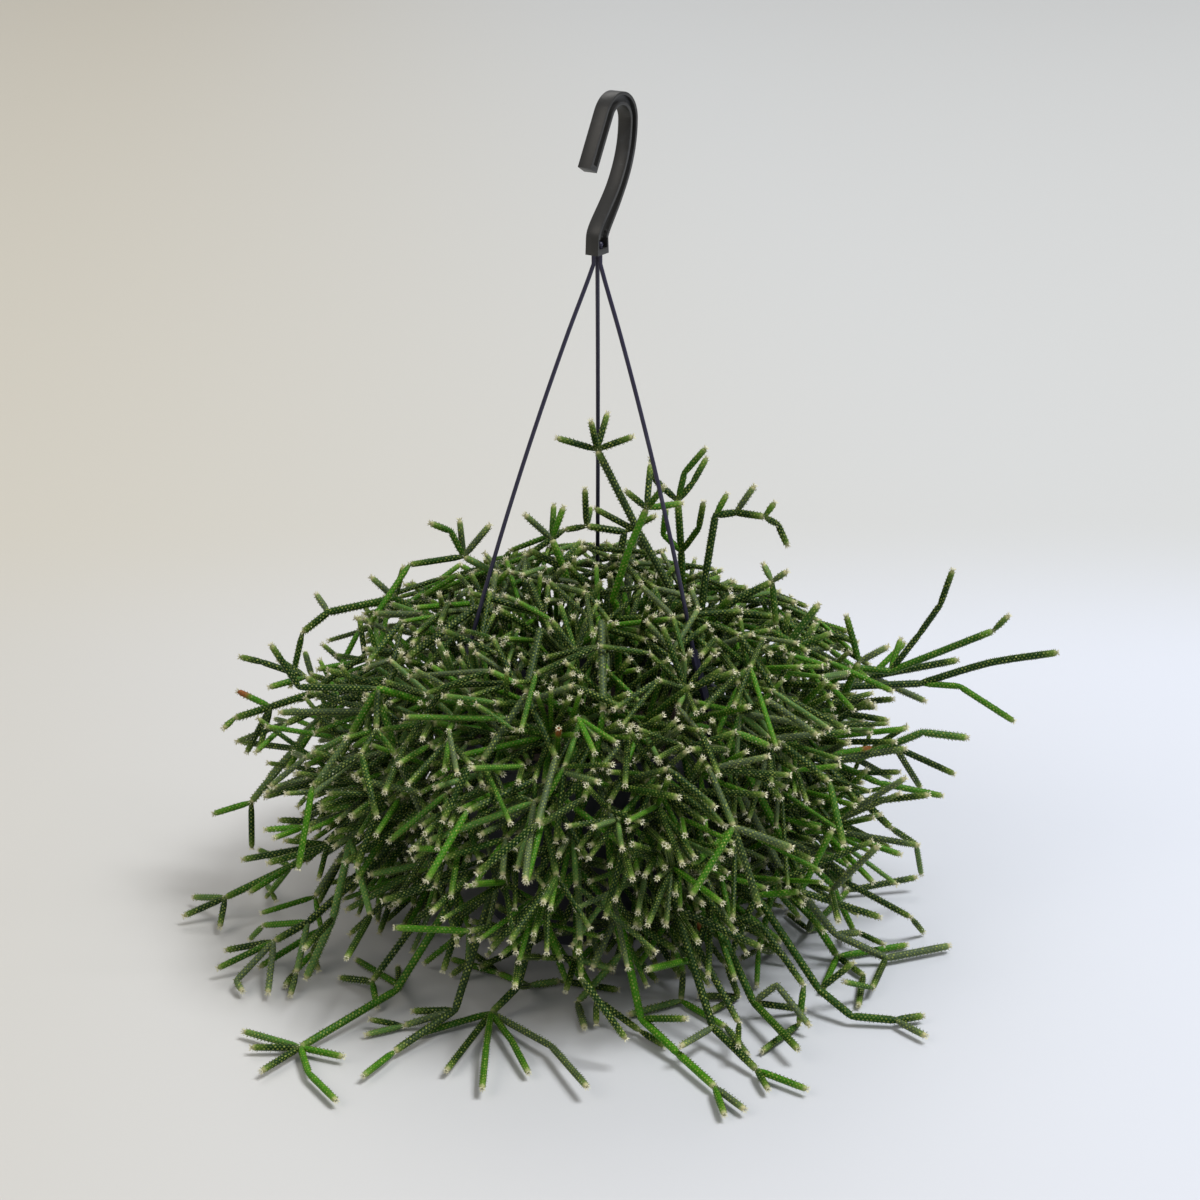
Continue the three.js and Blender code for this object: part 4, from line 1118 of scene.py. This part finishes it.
# joins or cuts the tools, then rounds the edges, and gives a plain mesh
def worked(thing, tools, rounding):
    for operation, tool in tools:
        cut = thing.modifiers.new("cut", "BOOLEAN")
        cut.operation = operation
        cut.solver = "EXACT"
        cut.object = tool
    bevel = thing.modifiers.new("round", "BEVEL")
    bevel.width = rounding * mm
    bevel.segments = 2
    bevel.limit_method = "ANGLE"
    bevel.angle_limit = math.radians(roundFrom)
    seen = bpy.context.evaluated_depsgraph_get()
    mesh = bpy.data.meshes.new_from_object(thing.evaluated_get(seen))
    for extra in [tool for _, tool in tools] + [thing]:
        bpy.data.objects.remove(extra)
    mesh.polygons.foreach_set("use_smooth", [True] * len(mesh.polygons))
    mesh.set_sharp_from_angle(angle=math.radians(sharpFrom))
    return mesh


plastics = {                    # clean and dusty colour, and roughness
    "pot": ((0.03, 0.033, 0.045, 1), (0.10, 0.10, 0.11, 1), 0.46),
    "hook": ((0.020, 0.019, 0.017, 1), (0.085, 0.09, 0.10, 1), 0.42),
    "rod": ((0.018, 0.015, 0.04, 1), (0.07, 0.07, 0.10, 1), 0.4),
}


def wear(net, place):
    dust = net.smooth(net.noise(place, 45.0, 5.0, 0.65), 0.48, 0.75)
    flattened = net.make("ShaderNodeMapping", None, {"Vector": place, "Scale": (1, 1, 7)})
    scuffs = net.smooth(net.noise(flattened, 120.0, 4.0, 0.6), 0.6, 0.74)
    return dust, scuffs


def finishPlastic(kind):
    clean, dusty, rough = plastics[kind]
    material, net = newMaterial(kind + " plastic")
    place = net.place()
    dust, scuffs = wear(net, place)
    grain = net.noise(place, 2600.0, 2.0)
    colour = net.mix(dust * 0.35 + scuffs * 0.25, clean, dusty)
    shader = net.surface(colour, rough + dust * 0.14 - scuffs * 0.08)
    finishMaterial(net, shader, grain + dust * 0.3, 0.12, 0.0002)
    return material


def makePotShell():
    step = potOuterRadius(pot["stepHeight"] + 1)
    height, lip, inner = pot["height"], pot["lipRadius"], pot["innerRimRadius"]
    under = height - pot["lipHeight"]
    profile = [
        (0, 0), (pot["footRadius"] - 1.5, 0), (pot["footRadius"] - 0.2, 1.3),
        (step - 1 - pot["stepDepth"] * 0.25, pot["stepHeight"]), (step, pot["stepHeight"] + 1),
        (pot["wallTopRadius"] - 0.6, under - 3), (pot["wallTopRadius"], under - 0.6), (lip - 0.6, under),
        (lip, under + 0.6), (lip, height - 1.2), (lip - 0.4, height - 0.3), (lip - 1.1, height),
        (inner + 0.7, height), (inner, height - 0.8), (inner - 0.9, height - 6), (inner - 1.1, height - 7),
        (pot["innerFootRadius"], pot["floor"]), (0, pot["floor"]),
    ]
    shell = newObject("shell", asMesh("pot_shell", turned(profile, pot["sides"])))
    drains = []
    for i in range(pot["drainCount"]):
        angle = (i + 0.5) * math.pi * 2 / pot["drainCount"]
        away = pot["drainCircle"] * mm
        drain = peg(pot["drainRadius"], -4, 6, 32)
        bmesh.ops.translate(drain, verts=drain.verts, vec=(away * math.cos(angle), away * math.sin(angle), 0))
        drains.append(("DIFFERENCE", newObject("drain", asMesh("drain", drain))))
    mesh = worked(shell, drains, 0.25)
    mesh.materials.append(finishPlastic("pot"))
    addPiece("pot_shell", mesh, "pot")


hook = {
    "heading": 56.5,            # degrees from +X
    "width": 6.8,
    "thickness": 6,
    "flange": 1.5,
    "recess": 1.9,
    "shankRise": 13,            # heights that the shank's curve aims at, from the foot and the crook
    "shankBend": 28,
    "crookCentre": (14.9, 56.6),
    "crookRadius": 10.8,
    "tip": (-8, 38.5),
    "tipWall": 2.5,
    "footHalf": 4.5,
    "footTaper": 26,
    "footBottom": -1,
    "footFloor": 2.8,
    "footHollow": 3.4,
    "footWindow": 4.6,
    "nubPlace": (4.9, 8.5),
    "nub": 1.4,
    "steps": 26,
}


def hookLine(end):
    cu, cv = hook["crookCentre"]
    radius = hook["crookRadius"]
    side = cu + radius
    bottom = hook["footBottom"]
    windowTop = bottom + hook["footFloor"] + hook["footWindow"]
    corners = [(0, windowTop), (0, hook["shankRise"]), (side, hook["shankBend"]), (side, cv)]
    steps = hook["steps"]
    line = [(0, bottom)] + [onCurve(corners, i / steps) for i in range(steps)]
    du, dv = hook["tip"][0] - cu, hook["tip"][1] - cv
    turn = math.atan2(dv, du) - math.acos(radius / math.hypot(du, dv)) + 2 * math.pi
    for i in range(steps + 1):
        angle = turn * i / steps
        line.append((cu + radius * math.cos(angle), cv + radius * math.sin(angle)))
    (u, v), (tipU, tipV) = line[-1], hook["tip"]
    t = 1 - end / math.hypot(tipU - u, tipV - v)
    return line + [(u + (tipU - u) * t, v + (tipV - v) * t)]


def hookBand(half, end, low, high):     # it spreads towards the foot
    line = hookLine(end)
    left, right = [], []
    for i, (u, v) in enumerate(line):
        a, b = line[max(i - 1, 0)], line[min(i + 1, len(line) - 1)]
        size = math.hypot(b[0] - a[0], b[1] - a[1])
        spread = half + (hook["footHalf"] - hook["thickness"] / 2) * max(0, 1 - v / hook["footTaper"])
        du, dv = (b[0] - a[0]) / size * spread, (b[1] - a[1]) / size * spread
        left.append((u - dv, v + du))
        right.append((u + dv, v - du))
    return extruded(left + right[::-1], low, high)


def makeHookBody():
    half = hook["width"] / 2
    web = hook["thickness"] / 2 - hook["flange"]
    bottom, hollow = hook["footBottom"], hook["footHollow"]
    floorTop = bottom + hook["footFloor"]
    windowTop = floorTop + hook["footWindow"]
    tools = [
        ("DIFFERENCE", hookBand(web, hook["tipWall"], half - hook["recess"], half + 1)),
        ("DIFFERENCE", hookBand(web, hook["tipWall"], -half - 1, hook["recess"] - half)),
        ("UNION", blockShape((-hollow - 0.5, bottom, -half), (hollow + 0.5, floorTop, half))),
        ("DIFFERENCE", blockShape((-hollow, floorTop, -half - 1), (hollow, windowTop, half + 1))),
        ("UNION", ball(hook["nub"], (*hook["nubPlace"], half - hook["nub"]))),
    ]
    for degrees in hanger["angles"].values():
        angle = math.radians(degrees - hook["heading"])
        hole = peg(hanger["radius"] + gap, -9, 4, 16)
        bmesh.ops.rotate(hole, verts=hole.verts, matrix=Matrix.Rotation(-math.pi / 2, 3, "X"))
        away = hanger["headCircle"] * mm
        bmesh.ops.translate(hole, verts=hole.verts, vec=(away * math.cos(angle), 0, -away * math.sin(angle)))
        tools.append(("DIFFERENCE", hole))
    body = newObject("body", asMesh("hook_body", hookBand(hook["thickness"] / 2, 0, -half, half)))
    mesh = worked(body, [(kind, newObject("tool", asMesh("tool", shape))) for kind, shape in tools], 0.4)
    mesh.transform(Matrix.Rotation(math.pi / 2, 4, "X"))
    mesh.transform(Matrix.Rotation(math.radians(hook["heading"]), 4, "Z"))
    x, y, z = hanger["foot"]
    lift = z - floorTop - gap - hanger["headRadius"]
    mesh.transform(Matrix.Translation((x * mm, y * mm, lift * mm)))
    mesh.materials.append(finishPlastic("hook"))
    addPiece("hook_body", mesh, "hook")


# a round rod along a line, with the thickness of each of its points
def rodTree():
    net, given = newTree("round rod", {
        "Line": ("Geometry", None), "Sides": ("Int", hanger["sides"]), "Plastic": ("Material", None)})
    curve = net.make("GeometryNodeMeshToCurve", None, {"Mesh": given["Line"]})
    rod = net.make("GeometryNodeCurveToMesh", None, {
        "Curve": curve, "Profile Curve": ringProfile(net, given["Sides"]), "Scale": net.note("thickness"),
        "Fill Caps": True})
    net.make("NodeGroupOutput", None, {"Geometry": net.dressed(net.realized(rod), given["Plastic"])})
    return net.tree


def clipOutline():
    away, height = hanger["tab"][-1]
    thick = hanger["clipThickness"]
    out = pot["lipRadius"] + gap
    under = pot["height"] - pot["lipHeight"] - gap
    inner = pot["innerRimRadius"] - hanger["clipInset"]
    top = pot["height"] + gap
    hem = top - hanger["clipHook"] - gap
    toe = out - hanger["clipToe"]
    bend = pot["height"] + hanger["tabBend"]
    return [(out, under), (out, top), (inner, top), (inner, hem), (inner - thick, hem),
            (inner - thick, top + thick), (out, top + thick), (out, bend), (away - thick / 2, height),
            (away + thick / 2, height + 0.5), (out + thick, bend + 0.5), (out + thick, under - thick),
            (toe, under - thick), (toe, under)]


def makeRods():
    tree = rodTree()
    plastic = finishPlastic("rod")
    half = hanger["clipWidth"] / 2
    for side, degrees in hanger["angles"].items():
        line = smoothLine(rodLine(degrees, hanger["steps"]), 8)
        edges = [(i, i + 1) for i in range(len(line) - 1)]
        mesh = lineMesh("rod line", line, edges, {"thickness": [hanger["radius"] * mm] * len(line)})
        rod = newObject("rod", grownMesh(mesh, tree, {"Plastic": plastic}))
        clip = newObject("clip", asMesh("clip", extruded(clipOutline(), -half, half)))
        clip.data.transform(Matrix.Rotation(math.pi / 2, 4, "X"))
        clip.data.transform(Matrix.Rotation(math.radians(degrees), 4, "Z"))
        head = newObject("head", asMesh("head", ball(hanger["headRadius"], line[-1])))
        mesh = worked(clip, [("UNION", rod), ("UNION", head)], 0.2)
        mesh.materials.clear()
        mesh.materials.append(plastic)
        name = f"hanger_rod_{side}"
        addPiece(name + "_round", mesh, name)


compost = {
    "rings": 26,
    "sides": 72,
    "rough": 1.1,               # mm, up and down
    "crumbs": 1500,
    "crumbSize": 1.5,           # mm across, on average
    "crumbSizes": ((0.5, 0.35, 0.3), (2.0, 1.1, 0.9)),  # least and most of that, each way
    "spread": 64,               # mm, the radius that the crumbs are counted over
    "seed": 9,
    "soil": ((0.012, 0.008, 0.006, 1), (0.06, 0.038, 0.024, 1)),
    "bark": (0.11, 0.06, 0.03, 1),
}


def finishCompost():
    material, net = newMaterial("compost crumb")
    place = net.place()
    grain = net.noise(place, 420.0, 6.0, 0.7)
    bark = net.smooth(net.noise(place, 160.0), 0.55, 0.7)
    colour = net.mix(bark, net.mix(grain, *compost["soil"]), compost["bark"])
    finishMaterial(net, net.surface(colour, 0.9), grain, 0.8, 0.001)
    return material


# crumbs scattered over the compost's top
def crumbTree():
    net, given = newTree("crumbs", {
        "Ground": ("Geometry", None),
        "Count": ("Int", compost["crumbs"]),
        "Size": ("Float", compost["crumbSize"] * mm),
        "Seed": ("Int", compost["seed"]),
        "Earth": ("Material", None),
    })
    seed = given["Seed"]
    upward = net.vectorMaths("DOT_PRODUCT", net.make("GeometryNodeInputNormal"), (0, 0, 1), out="Value")
    spots = net.make("GeometryNodeDistributePointsOnFaces", {"distribute_method": "RANDOM"}, {
        "Mesh": given["Ground"], "Selection": net.maths("GREATER_THAN", upward, 0.5),
        "Density": given["Count"] / (math.pi * (compost["spread"] * mm) ** 2), "Seed": seed})
    crumb = net.make("GeometryNodeMeshIcoSphere", None, {"Radius": 0.5, "Subdivisions": 1})
    turn = net.random((0, 0, 0), (6.28, 6.28, 6.28), seed + 1)
    turn = net.make("FunctionNodeEulerToRotation", None, {0: turn})
    size = net.make("ShaderNodeVectorMath", {"operation": "SCALE"}, {
        0: net.random(*compost["crumbSizes"], seed + 2), "Scale": given["Size"]})
    whole = net.realized(net.joined(given["Ground"], net.onEach(spots, crumb, turn, size)))
    net.make("NodeGroupOutput", None, {"Geometry": net.dressed(whole, given["Earth"])})
    return net.tree


def makeCompost():
    draw = seededRandom(compost["seed"])
    top, bottom = soil["top"], pot["floor"] + gap

    def innerRadius(z):
        slope = (pot["innerRimRadius"] - pot["innerFootRadius"]) / (pot["height"] - pot["floor"])
        return pot["innerFootRadius"] + slope * (z - pot["floor"]) - gap * 1.8

    edge = innerRadius(top)
    profile = [(0, bottom), (innerRadius(bottom), bottom), (edge, top)]
    for i in range(1, compost["rings"]):
        t = 1 - i / compost["rings"]
        profile.append((edge * t, top + soil["crown"] * (1 - t)))
    profile.append((0, top + soil["crown"]))
    shape = turned(profile, compost["sides"])
    for corner in shape.verts:
        if corner.co.z > (top + 0.01) * mm:
            corner.co.z += (draw() - 0.5) * 2 * compost["rough"] * mm
    ground = asMesh("ground", shape)
    addPiece("compost", grownMesh(ground, crumbTree(), {"Earth": finishCompost()}), "soil")


makePotShell()
makeHookBody()
makeRods()
makeCompost()
print("pot and hanger made")


# Floor and light

studio = {
    "floorSize": 14.0,
    "floorNearPaintedLight": ((0.52, 0.49, 0.43, 1), (0.65, 0.67, 0.73, 1)),   # painted light: warm shade at the left and cool window light at the right
    # the same painted light further back, duller and greyer
    "floorFarPaintedLight": ((0.53, 0.49, 0.41, 1), (0.56, 0.56, 0.55, 1)),
    "world": (0.86, 0.88, 0.92, 1),
    "worldStrength": 0.36,
    "lampAim": (0, 0, 0.12),
    "lamps": [                  # place, width, power, colour
        ((3.6, -0.6, 7.0), 2.6, 560, (0.94, 0.97, 1.0)),
        ((-5.0, -3.0, 5.0), 4.0, 120, (1.0, 0.94, 0.85)),
        ((-1.0, 6.0, 6.5), 4.5, 130, (1.0, 0.98, 0.94)),
    ],
}


def finishFloor():
    material, net = newMaterial("floor with painted light")
    place = net.place()
    across = net.make("ShaderNodeSeparateXYZ", None, {0: place})
    depth = across.beside("Y")
    # painted light: warm shade towards the left, cool window light towards the right, duller further back
    right = net.smooth(across + depth * 0.1, -0.55, 0.45)
    near = net.mix(right, *studio["floorNearPaintedLight"])
    far = net.mix(right, *studio["floorFarPaintedLight"])
    shader = net.surface(net.mix(net.smooth(depth, 0.28, 0.6), near, far), 0.6)
    finishMaterial(net, shader, net.noise(place, 60.0), 0.05, 0.001)
    return material


def layFloor():
    half = studio["floorSize"] / 2
    mesh = bpy.data.meshes.new("floor")
    corners = [(-half, -half, 0), (half, -half, 0), (half, half, 0), (-half, half, 0)]
    mesh.from_pydata(corners, [], [(0, 1, 2, 3)])
    mesh.materials.append(finishFloor())
    newObject("floor", mesh)


def hangLamps():
    for n, (place, width, power, colour) in enumerate(studio["lamps"], 1):
        lamp = newObject(f"softbox_{n}", bpy.data.lights.new(f"softbox_{n}", "AREA"))
        lamp.data.size = width
        lamp.data.energy = power
        lamp.data.color = colour
        lamp.location = place
        aim = Vector(place) - Vector(studio["lampAim"])
        lamp.rotation_euler = aim.to_track_quat("Z", "Y").to_euler()
    world = bpy.data.worlds.new("soft room")
    world.use_nodes = True
    sky = world.node_tree.nodes["Background"]
    sky.inputs[0].default_value = studio["world"]
    sky.inputs[1].default_value = studio["worldStrength"]
    bpy.context.scene.world = world
    bpy.context.scene.view_settings.view_transform = "Standard"


layFloor()
hangLamps()
